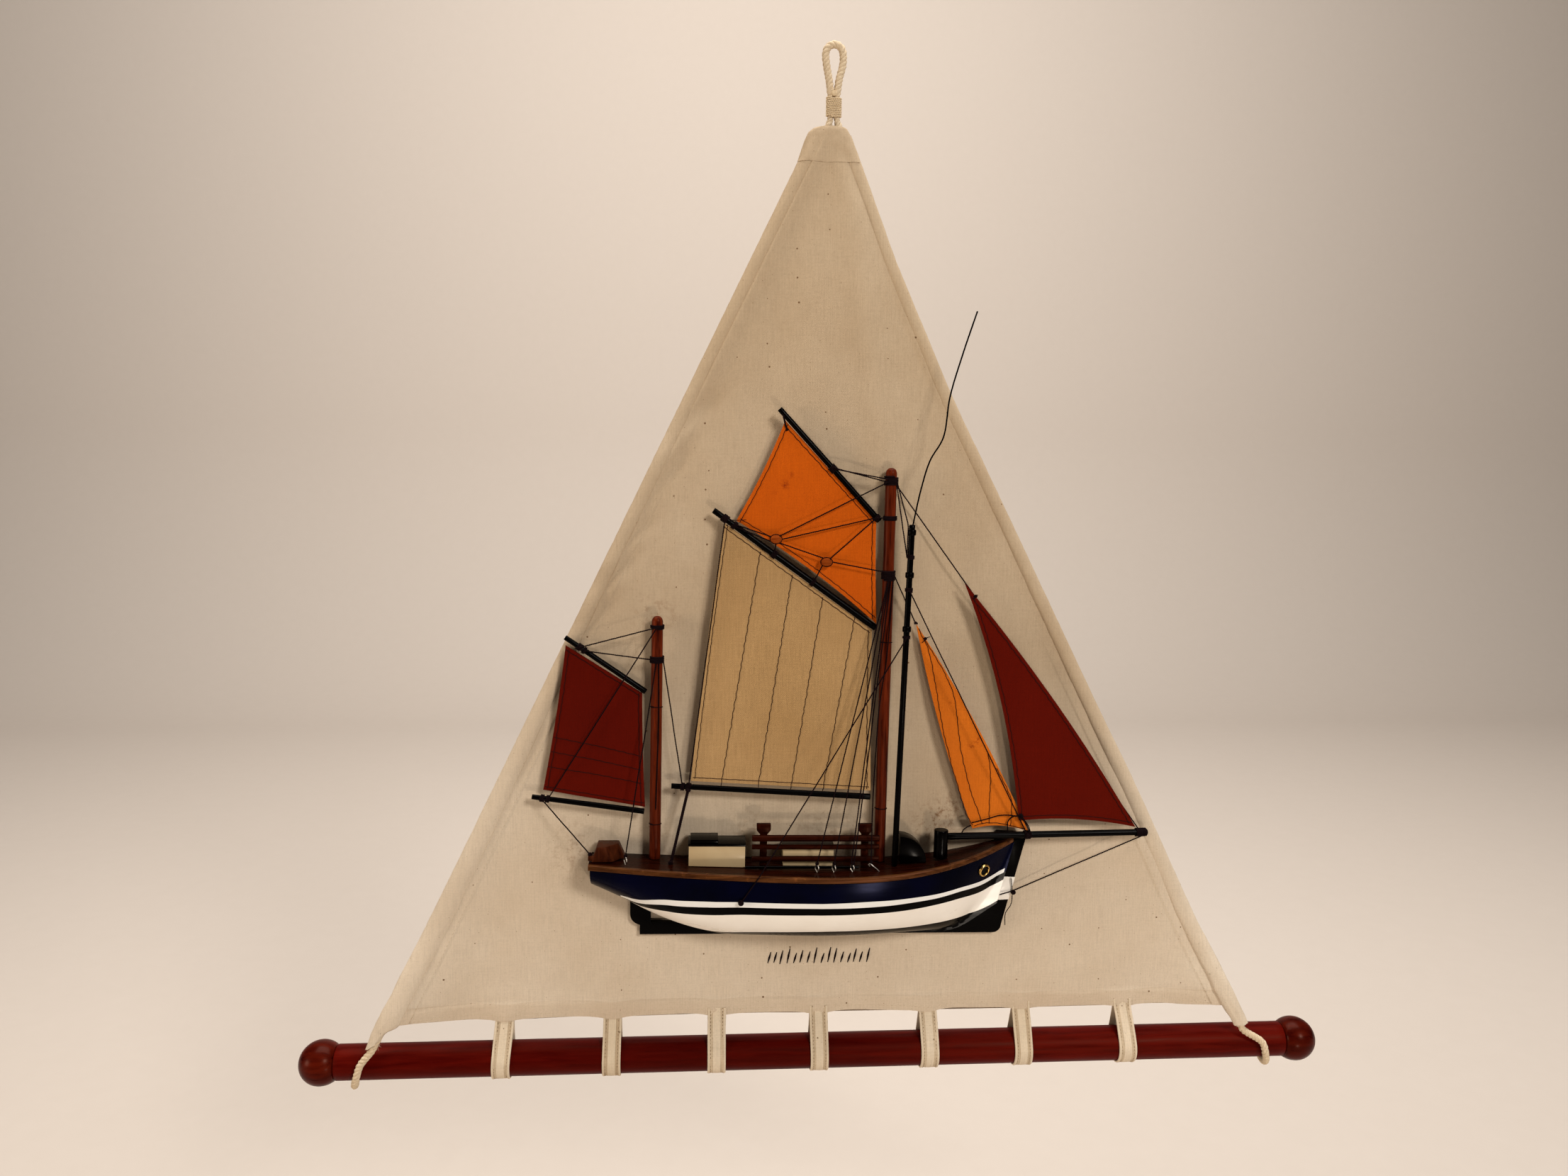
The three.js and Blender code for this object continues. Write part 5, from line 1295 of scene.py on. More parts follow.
# Stern bench
left = HULL_AFT + 0.6
bench_foot = deck_under(left, 0)
plan = [(0, -5.6), (22.6, -5.6), (22.6, -13.6), (13.6, -23.5), (0, -23.5)]
low = [(left + x, y, bench_foot) for x, y in plan]
high = []
for x, y in plan:
    inward = 3.4 if x < 11.3 else -4.6
    high.append((left + x + inward, lerp(y, -5.6, 0.08), 11.0))
faces = [tuple(range(4, -1, -1)), tuple(range(5, 10))]
faces += [(i, (i + 1) % 5, (i + 1) % 5 + 5, i + 5) for i in range(5)]
bench = (low + high, faces)
fitting("bench_block", [bench], brown_wood, "deck_wood", ["stern_bench"], bevel=0.6, segments=3)
cleat = box(-167.4, left + 1.5, -22.5, -17.5, bench_foot + 0.6, 4.7)
fitting("bench_cleat", [cleat], brown_wood, "deck_wood", bevel=0.4)

# Deckhouse and roof, midship hatch and lid
# The white walls take the tan paint that stands for painted shade
walls = box(-97.5, -58, -24.4, -5.6, on_deck(-97.5, -58), 12.4)
fitting("house_walls", [walls], shaded_house_paint, "white_paint", ["deckhouse"], bevel=0.35)
roof = [box(-98.0, -57.5, -24.9, -5.6, 12.7, 14.4), box(-96.5, -77.0, -23.4, -6.6, 14.2, 16.8)]
black("house_roof", roof, ["deckhouse_roof"], bevel=0.3)
walls = box(-31, 5, -19.4, -5.6, on_deck(-31, 5), 8.6)
fitting("hatch_walls", [walls], shaded_house_paint, "white_paint", ["midship_hatch"], bevel=0.3)
black("hatch_cover", [box(-31.5, 5.5, -19.9, -5.6, 8.9, 10.6)], ["hatch_lid"], bevel=0.3)

# Spar rack: two posts, three spars with their thickness and height, and the sill rod
POST_BACK, POST_FRONT = -15.8, -19.8
for i, x in enumerate((-45, 27)):
    foot = deck_under(x, 2.5)
    neck, head = [(2.5, 19.5), (5, 22.5), (5, 27)], [(-5, 27), (-5, 22.5), (-2.5, 19.5)]
    outline = [(x + w, z) for w, z in [(-2.5, foot), (2.5, foot), *neck, *head]]
    post, node = flat_plate(outline, POST_BACK, POST_FRONT), f"rack_post_{i + 1}"
    fitting(f"carved_post_{i + 1}", [post], rack_wood, "deck_wood", [node], bevel=0.45)
for i, (wide, z) in enumerate(((4.6, 17.8), (3.6, 11.4), (4.0, 2.8))):
    y = POST_FRONT - GAP - wide / 2
    spar, node = bar((-53.3, y, z), (36.7, y, z), wide / 2, edge=0.3), f"rack_spar_{i + 1}"
    fitting(f"turned_spar_{i + 1}", [spar], rack_wood, "deck_wood", [node], sharp=60)
sill_z = max(deck_under(-58, 0), deck_under(22, 0)) + 1
sill = bar((-58, -27, sill_z), (22, -27, sill_z), 1.0, edge=0.25, sides=16)
black("black_sill", [sill], ["rack_sill"], sharp=60)

# Quarter round fore hatch, bollard and stem chock
foot = deck_under(61.5, 9.5)
quarter = flat_plate([(52, foot)] + arc(52, foot, 19, 0, math.pi / 2, 22), -8, -21.9)
black("quarter_hatch", [quarter], ["fore_hatch"], bevel=0.3)
bollard = bar((82, -17, deck_under(82, 5)), (82, -17, 22.3), 5, edge=0.6, sides=40)
black("round_bollard", [bollard], ["bollard"], sharp=60)
CHOCK_X = 124.0
foot = deck_under(CHOCK_X, 0)
clear = max(deck_under(137.5, 0), 12.3)
outline = [(0, foot + 1), (5.95, clear), (17, clear), (17, 16.5), (2, 17.5), (0, 15.5)]
chock = flat_plate([(CHOCK_X + x, z) for x, z in outline], -1.3, -5.8)
black("black_chock", [chock], ["stem_chock"], bevel=0.3)


def skin_at(x, z):
    """The point of the hull at a station and a height."""
    low, high = 0.0, 1.0
    for _ in range(30):
        middle = (low + high) / 2
        if skin(x, middle)[2] > z:
            low = middle
        else:
            high = middle
    return np.array(skin(x, low))


# Hawse eyelet, with a black disc in it as painted shade of its hole, and two dark slashes across
# the ring
centre = skin_at(115, -7)
fore_and_aft = skin_at(117, -7) - skin_at(113, -7)
outward = unit(np.cross(fore_and_aft, skin_at(115, -5) - skin_at(115, -9)))
seat = centre + outward * 0.25
a = unit(np.cross(outward, (0, 0, 1)))
b = np.cross(outward, a)


def on_eyelet(x, y, h):
    return seat + a * x + b * y + outward * h


EYELET = [(3.3, 0.1), (3.35, 1.1), (3.55, 1.5), (3.95, 1.7), (4.4, 1.5), (4.7, 1.0), (4.85, 0.4)]
EYELET += [(4.85, 0.1), EYELET[0]]
angles = circle(48)
rings = [[on_eyelet(r * math.cos(t), r * math.sin(t), h) for t in angles] for r, h in EYELET]
fitting("brass_eyelet", [loft(rings, True, False)], brass, "brass", ["hawse_eyelet"], sharp=60)
# A black disc that stands in for the shade in the hole, then the two dark slashes
hole = [lathe([(0.05, 0.5), (3.25, 0.5), (3.25, 0.05), (0.05, 0.05)], on_eyelet, 32)]
for t in (0.8, 3.6):
    way = a * math.cos(t) + b * math.sin(t)
    hole.append(tube([seat + way * 3.1 + outward * 1.3, seat + way * 4.9 + outward * 0.9], 0.42, 6))
black("eyelet_hole_shade", hole)

# Masts
MAST_Y, MAST_RADIUS = -10.0, 4.0
MAIN_X, MAIN_TOP, MIZZEN_X, MIZZEN_TOP = 39.0, 278.2, -121.5, 172.5


def mast(name, x, top):
    foot = deck_under(x, MAST_RADIUS)
    profile = [(3.4, 0), (MAST_RADIUS, 0.4)]
    height = top - foot
    for i in range(1, 60):
        h = lerp(0.4, height - 4.5, i / 60)
        profile.append((MAST_RADIUS - 0.12 * wobble(h / 30, x), h))
    for t in np.linspace(0, math.pi / 2, 9):
        profile.append((3.95 * math.cos(t) ** 0.8 + 0.02, height - 4.3 + 4.3 * math.sin(t)))
    turned = lathe(profile, lambda px, py, h: (x + px, MAST_Y + py, foot + h), 40)
    fitting("turned_" + name, [turned], mast_wood, "mast_wood", [name], sharp=60)


mast("main_mast", MAIN_X, MAIN_TOP)
mast("mizzen_mast", MIZZEN_X, MIZZEN_TOP)

# The black pole with three collars, and the bent wire in its top
POLE_X, POLE_Y, POLE_RADIUS, POLE_TOP = 48, -22.5, 2.1, 239.7
POLE_FOOT = deck_under(POLE_X, POLE_RADIUS)
LEAN = 4.6 / (POLE_TOP - POLE_FOOT)
COLLARS = (72.5, 34.8, 5.3)
COLLAR = [(2.1, -2.1), (2.75, -1.9), (3.0, -1.4), (3.0, 1.4), (2.75, 1.9), (2.1, 2.1)]
WIRE = [(0, 0), (5.2, 27), (10.8, 47), (19.4, 63), (23, 90.5), (30.7, 119.4), (39.6, 148.2)]


def pole_at(z):
    return np.array([POLE_X + (z - POLE_FOOT) * LEAN, POLE_Y, z])


length = POLE_TOP - POLE_FOOT
profile = [(1.8, 0), (POLE_RADIUS, 0.3)]
profile += [(r, length - drop + h) for drop in COLLARS for r, h in COLLAR]
profile += [(POLE_RADIUS, length - 0.3), (1.8, length)]
pole = lathe(profile, lambda x, y, h: (POLE_X + x + h * LEAN, POLE_Y + y, POLE_FOOT + h), 32)
start = pole_at(POLE_TOP - 3)
wire_line = route([start + (x, 0, z) for x, z in WIRE], 1.2)
bodies = [pole, tube(wire_line, 0.55, 10)]
fitting("black_pole", bodies, spar_paint, "black_paint", ["pole"], sharp=45)


class Spar:
    """A spar that leaves its mast at a height and goes aft and up by an angle in degrees."""

    def __init__(self, mast_x, height, angle, length, diameter):
        reach = (MAST_RADIUS + GAP + 0.6) / math.cos(math.pi / 8)
        angle = math.radians(angle)
        self.heel = np.array([mast_x - reach - 0.6 - GAP, MAST_Y, height])
        self.along = np.array([-math.cos(angle), 0, math.sin(angle)])
        self.up = np.array([math.sin(angle), 0, math.cos(angle)])
        self.radius, self.length = diameter / 2, length

    def at(self, distance, rise=0.0):
        return self.heel + self.along * distance + self.up * rise

    def part(self, share, rise=0.0):
        return self.at(share * self.length, rise)

    def face(self, share, rise=0.0, reach=0.45):
        return self.part(share, rise) + np.array((0, -(self.radius + reach), 0))


main_gaff = Spar(MAIN_X, 165, 34.95, 142.3, 4.6)
main_boom = Spar(MAIN_X, 44.2, 3, MAIN_X - MIZZEN_X - 17, 4.3)
yard = Spar(MAIN_X, MAIN_TOP - 38.2, 46.7, 105.6, 4.3)
mizzen_gaff = Spar(MIZZEN_X, 118.2, 34, 69, 4)
mizzen_boom = Spar(MIZZEN_X, 33.1, 7.5, 80.6, 4)
SPARS = {
    "main_gaff": main_gaff,
    "main_boom": main_boom,
    "topsail_yard": yard,
    "mizzen_gaff": mizzen_gaff,
    "mizzen_boom": mizzen_boom,
}
sprit_heel = np.array([82 + 5 + GAP, -13.5, 16.2])
sprit_tip = np.array([235.4, MAST_Y, 18.4])
spars = {
    name: (one.at(one.radius * 0.8), one.at(one.length), one.radius, one.radius * 0.9)
    for name, one in SPARS.items()
}
spars["bowsprit"] = (sprit_heel, sprit_tip, 2.5, 2.25)
for name, sizes in spars.items():
    turned = bar(*sizes, 20, 0.4)
    fitting("round_" + name, [turned], spar_paint, "black_paint", [name], sharp=60)

# Sails
SAIL_Y, JIB_Y = -9.0, -11.2
GRID = 60
BELLY, SAIL_HEM = 0.5, 3.4


def edge_points(start, end, bow, count):
    """Points along a sail's edge, bowed to its right hand by the given height."""
    start, end = np.asarray(start, float), np.asarray(end, float)
    along = unit(end - start)
    control = (start + end) / 2 + 2 * bow * np.array([along[1], -along[0]])
    return curve(start, control, end, np.linspace(0, 1, count)[:, None])


def patch_grid(corners, bows):
    """A grid of points that fills a sail of four sides, or of three with its head doubled."""
    head, tack, clew, peak = [np.asarray(p, float) for p in (*corners, corners[0])[:4]]
    luff = edge_points(head, tack, bows[0], GRID)
    foot = edge_points(tack, clew, bows[1], GRID)
    leech = edge_points(clew, peak, bows[2], GRID)[::-1]
    top = edge_points(peak, head, bows[3], GRID)[::-1] if len(corners) == 4 else head
    s = np.linspace(0, 1, GRID)[:, None, None]
    t = np.linspace(0, 1, GRID)[None, :, None]
    sides = (1 - t) * luff[:, None] + t * leech[:, None] + (1 - s) * top + s * foot
    return sides - (1 - s) * ((1 - t) * head + t * peak) - s * ((1 - t) * tack + t * clew)


def sail(name, node, corners, bows, material, slot, y, seed):
    """A sail with a folded hem all round, soft creases and a little belly, and its two faces."""
    grid = patch_grid(corners, bows)
    height = float(np.linalg.norm(grid[-1, 0] - grid[0, 0]))
    front, back = [], []
    for i, row in enumerate(grid):
        s = i / (GRID - 1)
        wide = np.linalg.norm(row[-1] - row[0])
        for j, (x, z) in enumerate(row):
            t = j / (GRID - 1)
            full = math.sin(math.pi * s) * math.sin(math.pi * t)
            deep = y - BELLY * full + 0.32 * wobble(x / 26, z / 40, seed)
            deep += 0.12 * wobble(x / 7, z / 9, seed + 4) * (0.3 + full)
            edge = min(t * wide, (1 - t) * wide, s * height, (1 - s) * height)
            thick = 0.19 + 0.13 * (1 - smooth(edge, SAIL_HEM - 0.5, SAIL_HEM + 0.3))
            front.append((x, deep - thick, z))
            back.append((x, deep + thick, z))
    n = GRID * GRID
    faces = loft(np.reshape(front, (GRID, GRID, 3)), False)[1]
    faces += [tuple(n + k for k in quad[::-1]) for quad in faces]
    spots = np.arange(n).reshape(GRID, GRID)
    rim = [*spots[0], *spots[1:, -1], *spots[-1, -2::-1], *spots[-2:0:-1, 0]]
    faces += [(p, q, n + q, n + p) for p, q in zip(rim, rim[1:] + rim[:1])]
    piece = fitting(name, [(front + back, faces)], material, slot, [node], sharp=75)
    return piece, np.array(front), np.array(back)

SEAM_WIRE, SEAM_STEP = 0.25, 1.2


def seam(shape, points, cloth_faces, waver, seed):
    """A line of dark machine stitches over a sail, on both of its faces."""
    p = spaced([(x, 0, z) for x, z in points], SEAM_STEP)
    for face, side in zip(cloth_faces, (-1, 1)):
        line = []
        for k, q in enumerate(p):
            near = np.hypot(face[:, 0] - q[0], face[:, 2] - q[2])
            pick = np.argpartition(near, 4)[:4]
            depth = np.average(face[pick, 1], weights=1 / (near[pick] + 0.1))
            ripple = math.sin(k * 1.1 + 4 * wobble(k * 0.08, seed + 5))
            zig = waver * (wobble(k * 0.16, seed) + 0.6 * ripple)
            line.append((q[0] + zig, depth + side * (0.1 + 0.08 * (k % 2)), q[2] + zig * 0.4))
        shape.add(*tube(line, SEAM_WIRE, 5))


def inset(corners, bows, amount, count=24):
    """The sail's outline, drawn in by an amount, as a row of points for each side."""
    c = [np.asarray(p, float) for p in corners]
    middle = sum(c) / len(c)
    rows = []
    for start, end, bow in zip(c, c[1:] + c[:1], bows):
        along = unit(end - start)
        normal = np.array([-along[1], along[0]])
        if normal.dot(middle - (start + end) / 2) < 0:
            normal = -normal
        rows.append(edge_points(start, end, bow, count) + normal * amount)
    return rows


def inside(point, outline):
    """Whether a point is within a closed outline."""
    x, z = point
    hit = False
    for (x0, z0), (x1, z1) in zip(outline, np.roll(outline, -1, 0)):
        if (z0 > z) != (z1 > z) and x < (x1 - x0) * (z - z0) / (z1 - z0) + x0:
            hit = not hit
    return hit


def corners_of(*points):
    return [(float(p[0]), float(p[2])) for p in points]


def polygon_area(points):
    x, z = np.array(points).T
    return abs(np.dot(x, np.roll(z, -1)) - np.dot(z, np.roll(x, -1))) / 2


under_gaff = -(main_gaff.radius + GAP)
mainsail = corners_of(
    main_gaff.at(3, under_gaff),
    main_boom.at(1.5, 4.2),
    main_boom.at(main_boom.length - 13.5, 4.2),
    main_gaff.at(main_gaff.length - 11, under_gaff),
)
topsail = corners_of(
    yard.at(3, -1.7),
    main_gaff.at(3, -under_gaff),
    main_gaff.at(main_gaff.length - 17, 3.4),
    yard.at(yard.length - 8.5, -2.4),
)
mizzen = corners_of(
    mizzen_gaff.at(3, -(mizzen_gaff.radius + GAP)),
    mizzen_boom.at(1.5, 3.0),
    mizzen_boom.at(mizzen_boom.length - 7, 5.8),
    mizzen_gaff.at(mizzen_gaff.length - 3.5, -4.5),
)
jib = [(93.3, 198.7), (226.0, 22.5), (139.6, 27.3)]
staysail = [(60.2, 169.0), (147.6, 18.4), (106.4, 20.6)]

# Piece, CAD node, corners, bow of each side, material, slot, depth and seed of the creases
LINEN, ORANGE, RED = "linen_cloth", "orange_cloth", "red_cloth"
STAY_BOWS = [-3.6, 3.4, -3.2]
SAILS = [
    ("linen_mainsail", "mainsail", mainsail, [0.5, 0, -0.8, 0], linen_cloth, LINEN, SAIL_Y, 1.0),
    ("orange_topsail", "topsail", topsail, [0.5, 3.2, 1.5, 0], orange_cloth, ORANGE, SAIL_Y, 2.0),
    ("red_mizzen_sail", "mizzen_sail", mizzen, [0.5, 0, 1, 0], red_cloth, RED, SAIL_Y, 3.0),
    ("red_jib", "jib", jib, [-4.4, 3.4, 6.5], red_cloth, RED, JIB_Y, 4.0),
    ("orange_staysail", "staysail", staysail, STAY_BOWS, stay_cloth, ORANGE, SAIL_Y, 5.0),
]


# The seams across three of the sails, as x and z of their points
MAIN_SEAMS = [
    ((-50.7, 220), (-75.8, 50)),
    ((-28.2, 204), (-49.4, 49)),
    ((-6.4, 188.4), (-26.1, 48)),
    ((16.5, 174.7), (-3.3, 47)),
]
MIZZEN_SEAMS = [
    ((-192.2, 86), (-131.6, 72.7)),
    ((-194.5, 75.8), (-131.4, 62.8)),
    ((-196.6, 65), (-131.4, 53.3)),
]
STAYSAIL_SEAMS = [
    [(62.0, 166), (64.4, 160.7), (68.2, 154.7), (72.2, 141.4), (75.9, 124.1), (79.1, 107.6),
     (82.8, 90.1), (86.9, 76.6), (89.9, 65.1), (94.0, 53.7), (97.6, 42.1), (101.1, 31.6),
     (106.5, 23.2)],
    [(66.5, 158.2), (74.0, 147.0), (80.6, 136.4), (85.9, 126.2), (89.8, 116.0), (91.6, 103.6),
     (93.6, 90.1), (95.6, 78.7), (98.1, 68.3), (101.7, 55.8), (105.3, 44.2), (110.4, 32.7),
     (113.5, 24.0)],
    [(115.0, 77.8), (117.3, 67.3), (118.3, 55.8), (117.9, 40.1), (118.1, 30.6), (118.6, 24.4)],
    [(122.2, 65.3), (129.2, 52.7), (134.2, 42.2), (134.6, 30.6), (134.2, 22.6)],
    [(107.6, 22.6), (111.3, 24.0), (116.5, 25.0), (124.9, 24.8), (131.2, 23.6), (139.7, 21.6),
     (145.0, 20.2)],
]
down = np.linspace(0.01, 0.99, 12)[:, None]
straight = [lerp(np.array(a), np.array(b), down) for a, b in MAIN_SEAMS]
raised = [[a, ((a[0] + b[0]) / 2, (a[1] + b[1]) / 2 + 0.7), b] for a, b in MIZZEN_SEAMS]
# For each sail the waver of its seams, their first seed and their lines
SEAMS = {
    "mainsail": (0.42, 10, straight),
    "mizzen_sail": (0.35, 20, raised),
    "staysail": (0.25, 30, STAYSAIL_SEAMS),
}
# A share of the rectangle round a sail: the sum at the end of the loop below takes the larger of
# this and the sail's area, and nothing uses its result
LEAST_CLOTH = 0.31
made = [sail(*row) for row in SAILS]
for (piece, *faces), (_, node, corners, bows, *_, seed) in zip(made, SAILS):
    sewn = Shape()
    if node != "staysail":
        outline = np.concatenate([row[:-1] for row in inset(corners, bows, 0.3)])
        for k, row in enumerate(inset(corners, bows, 2.6, 90)):
            seam(sewn, [p for p in row if inside(p, outline)], faces, 0.3, seed + k)
    waver, first, lines = SEAMS.get(node, (0, 0, ()))
    for k, line in enumerate(lines):
        seam(sewn, line, faces, waver, seed + first + k)
    stitching = ship_piece("stitching_" + node, sewn, [brown_thread], "thread", sharp=80)
    wide, high = (np.ptp(np.array(corners), axis=0) * MM).tolist()
    max(polygon_area(corners) * MM**2, LEAST_CLOTH * wide * high)

# Blocks over the gaff
BLOCKS = [(-40.5, 227.6), (-5.0, 212.3)]
BLOCK_Y = -14.2


def round_block(i, wide, high, angle, y=BLOCK_Y):
    """A point round a block."""
    x, z = BLOCKS[i]
    return np.array((x + wide * math.cos(angle), y, z + high * math.sin(angle)))


for i in range(2):
    rings = []
    for t in np.linspace(0, 1, 9):
        swell = math.sqrt(max(0.0, 1 - (2 * t - 1) ** 4)) * 0.25 + 0.75
        swell *= 1 - 0.06 * bell(t - 0.5, 0.12)
        y = BLOCK_Y + lerp(2.1, -2.1, t)
        rings.append([round_block(i, 3.85 * swell, 2.85 * swell, a, y) for a in circle(28)])
    name, node = f"wooden_block_{i + 1}", f"peak_block_{i + 1}"
    fitting(name, [loft(rings)], block_wood, "block_wood", [node], sharp=50)

# Screw eyes in the deck, and a wire hook
EYES = [(-7.9, -31.5), (4.0, -31.5), (17.0, -31.5)]
MIZZEN_EYE = (MIZZEN_X - 19.8, -24)
EYE_RADIUS, EYE_WIRE = 2.25, 0.42


def screw_eye(name, x, y, node):
    foot = deck_under(x, 0.45)
    across = unit((-0.5, 1, 0)) * EYE_RADIUS
    points = [np.array((x, y, foot - 1.2)), np.array((x, y, foot + 0.4))]
    for k in range(15):
        angle = -math.pi / 2 + 0.25 + k * (2 * math.pi - 0.75) / 14
        up = np.array((x, y, foot + 2.7 + EYE_RADIUS * math.sin(angle)))
        points.append(up + across * math.cos(angle))
    wire = tube(route(points, 0.5), EYE_WIRE, 8)
    fitting(name, [wire], steel, "steel", [node], sharp=60)


for i, (x, y) in enumerate(EYES):
    screw_eye(f"wire_eye_{i + 1}", x, y, f"deck_eye_{i + 1}")
screw_eye("mizzen_wire_eye", *MIZZEN_EYE, "mizzen_deck_eye")
HOOK = [(36.5, -31, -1), (34.5, -31, 1.2), (31.5, -31, 3.6)]
HOOK += [(29.5, -30.5, 5.0), (28.4, -30.2, 4.2), (29.4, -30.2, 3.2)]
foot = deck_under(33, 1)
hook = tube(route([(x, y, foot + h) for x, y, h in HOOK], 0.5), EYE_WIRE, 8)
fitting("bent_wire_hook", [hook], steel, "steel", sharp=60)

# Rigging, as twisted thread of two strands
THREAD = 1.12


def rigged(name, shape, node):
    ship_piece(name, shape, [black_thread], "thread", [node], sharp=80)


def thread(shape, points, diameter=THREAD, waver=0.25, seed=0.0):
    p = spaced(points, 3.0)
    for k in range(len(p)):
        t = k / (len(p) - 1)
        ends = waver * math.sin(math.pi * t)
        p[k, 0] += ends * wobble(t * 4.0, seed)
        p[k, 1] += ends * wobble(t * 4.0, seed + 9)
    twisted(shape, p, diameter, 2, 2.6, 5, 5)


def knot(shape, centre, size, seed):
    """A small knot: a few tight turns of thread over each other."""
    pick = np.random.default_rng(seed)
    for k in range(3):
        axis = unit(pick.normal(0, 1, 3))
        shape.add(*helix(centre, axis, size * 0.34, size * 0.24, 1.3, size * 0.3, 12, k * 2.0))


def tail(shape, start, way, length, seed, wire=0.24):
    """A cut end of thread, curling off."""
    bend = np.random.default_rng(seed).normal(0, 0.4, 3)
    bend[1] = abs(bend[1]) * 0.3
    start, way = np.asarray(start), unit(way)
    line = [start + way * length * t + bend * length * t * t for t in np.linspace(0, 1, 7)]
    shape.add(*tube(line, np.linspace(wire * 1.5, wire, 7), 5))


def mast_bind(shape, x, z, turns, wire):
    way = (0.03, 0, 1)
    shape.add(*helix((x, MAST_Y, z), way, MAST_RADIUS, wire, turns, wire * 1.9, 18, z))


def spar_bind(shape, one, share, turns, wire=0.45):
    radius = one.radius * 0.97
    shape.add(*helix(one.part(share), one.along, radius, wire, turns, wire * 2.0, 14, share * 9))


def mast_face(x, z, side=0.0):
    return np.array((x + 4.4 * math.sin(side), MAST_Y - 4.4 * math.cos(side), z))


def on_block(i, angle):
    return round_block(i, 4.4, 3.4, angle)


HEAD, MID, YARD_BAND = MAIN_TOP - 8.3, MAIN_TOP - 75, MAIN_TOP - 34.8
peak = Shape()
for i, (x, z) in enumerate(BLOCKS):
    ring = [round_block(i, 4.25, 3.25, t) for t in np.linspace(0, 2 * math.pi, 25)]
    peak.add(*tube(ring, 0.3, 6, False))
    knot(peak, (x + 2.5, -15.5, z + 2.4), 0.9, 5 + i)
for z, turns, wire in ((HEAD + 1.2, 2.2, 0.6), (HEAD - 2.0, 3.2, 0.6), (YARD_BAND, 3.2, 0.55)):
    mast_bind(peak, MAIN_X, z, turns, wire)
mast_bind(peak, MAIN_X, MID + 1.6, 3.0, 0.6)
for share, turns in ((0.047, 3), (0.478, 5)):
    spar_bind(peak, yard, share, turns)
for share, turns in ((0.875, 3), (0.637, 4), (0.4, 3), (0.931, 5)):
    spar_bind(peak, main_gaff, share, turns)
head = mast_face(MAIN_X, HEAD)
PEAK_LINES = [
    (head, on_block(0, 0.8)),
    (mast_face(MAIN_X, YARD_BAND), yard.face(0.047)),
    (yard.face(0.047), on_block(0, 0.0)),
    (yard.face(0.047), on_block(1, 0.9)),
    (head, yard.face(0.478)),
    (mast_face(MAIN_X, HEAD - 2.2), yard.face(0.478, 0.8)),
    (on_block(0, -0.9), on_block(1, 2.2)),
    (on_block(0, 2.6), main_gaff.face(0.875, 0.9)),
    (on_block(0, 3.6), main_gaff.face(0.875, -0.4)),
    (on_block(0, -1.6), main_gaff.face(0.637)),
    (on_block(1, -2.3), main_gaff.face(0.4)),
    (on_block(1, 0.0), mast_face(MAIN_X, MID + 2.2)),
]
for k, (a, b) in enumerate(PEAK_LINES):
    thread(peak, [a, b], seed=k * 3.0)
knot(peak, yard.face(0.047) + (0.6, -0.3, -0.5), 1.6, 8)
peak_corner = np.array((topsail[3][0] + 1.2, SAIL_Y - 0.7, topsail[3][1] - 6.5))
thread(peak, [yard.face(0.955, -1.0), peak_corner], seed=55, waver=0.1)
thread(peak, [yard.face(0.965, -1.0), peak_corner + (-0.8, 0, 2)], seed=56, waver=0.1)
knot(peak, peak_corner, 1.2, 14)
knot(peak, yard.face(0.478) + (1.2, -0.3, 0.6), 1.7, 9)
tail(peak, main_gaff.face(0.905, 1.5), (1, -0.2, -0.1), 6, 3)
tail(peak, main_gaff.face(0.905, -1.5), (-0.2, -0.2, -1), 3.5, 4)
rigged("black_thread_lines", peak, "peak_lines")

# Lines of the main boom
boom = Shape()
spar_bind(boom, main_boom, 0.916, 4)
sheet_foot = np.array((-110.0, -21.0, deck_under(-110, 1.1)))
thread(boom, [main_gaff.face(0.931), main_boom.face(0.916)], seed=20)
twisted(boom, [main_boom.face(0.916, -1), sheet_foot], 2.3, 3, 4.4, 8, 9)
knot(boom, main_boom.face(0.916, -1.5) + (0, -0.6, 0), 2.4, 11)
knot(boom, sheet_foot + (0, 0, 0.8), 2.2, 12)
rigged("boom_thread_lines", boom, "boom_lines")

# Shrouds to the screw eyes and the hook
shrouds = Shape()
mast_bind(shrouds, MAIN_X, MID - 1.4, 3.0, 0.6)
mid = mast_face(MAIN_X, MID - 1)


def eye_top(x, y):
    """Where a line is tied to a screw eye."""
    return np.array((x, y, deck_under(x, 2.7) + 5.4 + 0.4))


# Points and waver of each line from the upper band of the main mast
SHROUDS = [
    ([mid, eye_top(-7.9, -31.5)], 0.3),
    ([mid, eye_top(4.0, -31.5)], 0.3),
    ([mid, eye_top(16.0, -31.5)], 0.5),
    ([mid + (1.5, 0, 0), eye_top(18.0, -31.5)], 0.5),
]
HALYARD = [mast_face(MAIN_X, MID, 0.9), (38.5, -17.5, 146), (33.5, -22, 108), (30.5, -27, 40)]
HALYARD.append((30.3, -30.4, 3.0))
SHROUDS.append((route(HALYARD, 3.0), 0.6))
for k, (points, waver) in enumerate(SHROUDS):
    thread(shrouds, points, waver=waver, seed=30 + k * 3.0)
for k, (x, y) in enumerate(EYES):
    knot(shrouds, eye_top(x, y) + (0, -0.2, 0.3), 1.7, 20 + k)
knot(shrouds, (30.3, -30.4, 3.2), 1.5, 24)
thread(shrouds, [mast_face(MAIN_X, MID, 1.3), (59.2, -9.9, 170.4)], seed=50)
knot(shrouds, (59.6, -9.9, 169.8), 1.5, 25)
tail(shrouds, (59.6, -10.2, 169.8), (1, -0.1, 0.35), 4.5, 8)
rigged("shroud_threads", shrouds, "main_shrouds")

# Stays to the bowsprit, and the halyards to the pole
stays = Shape()


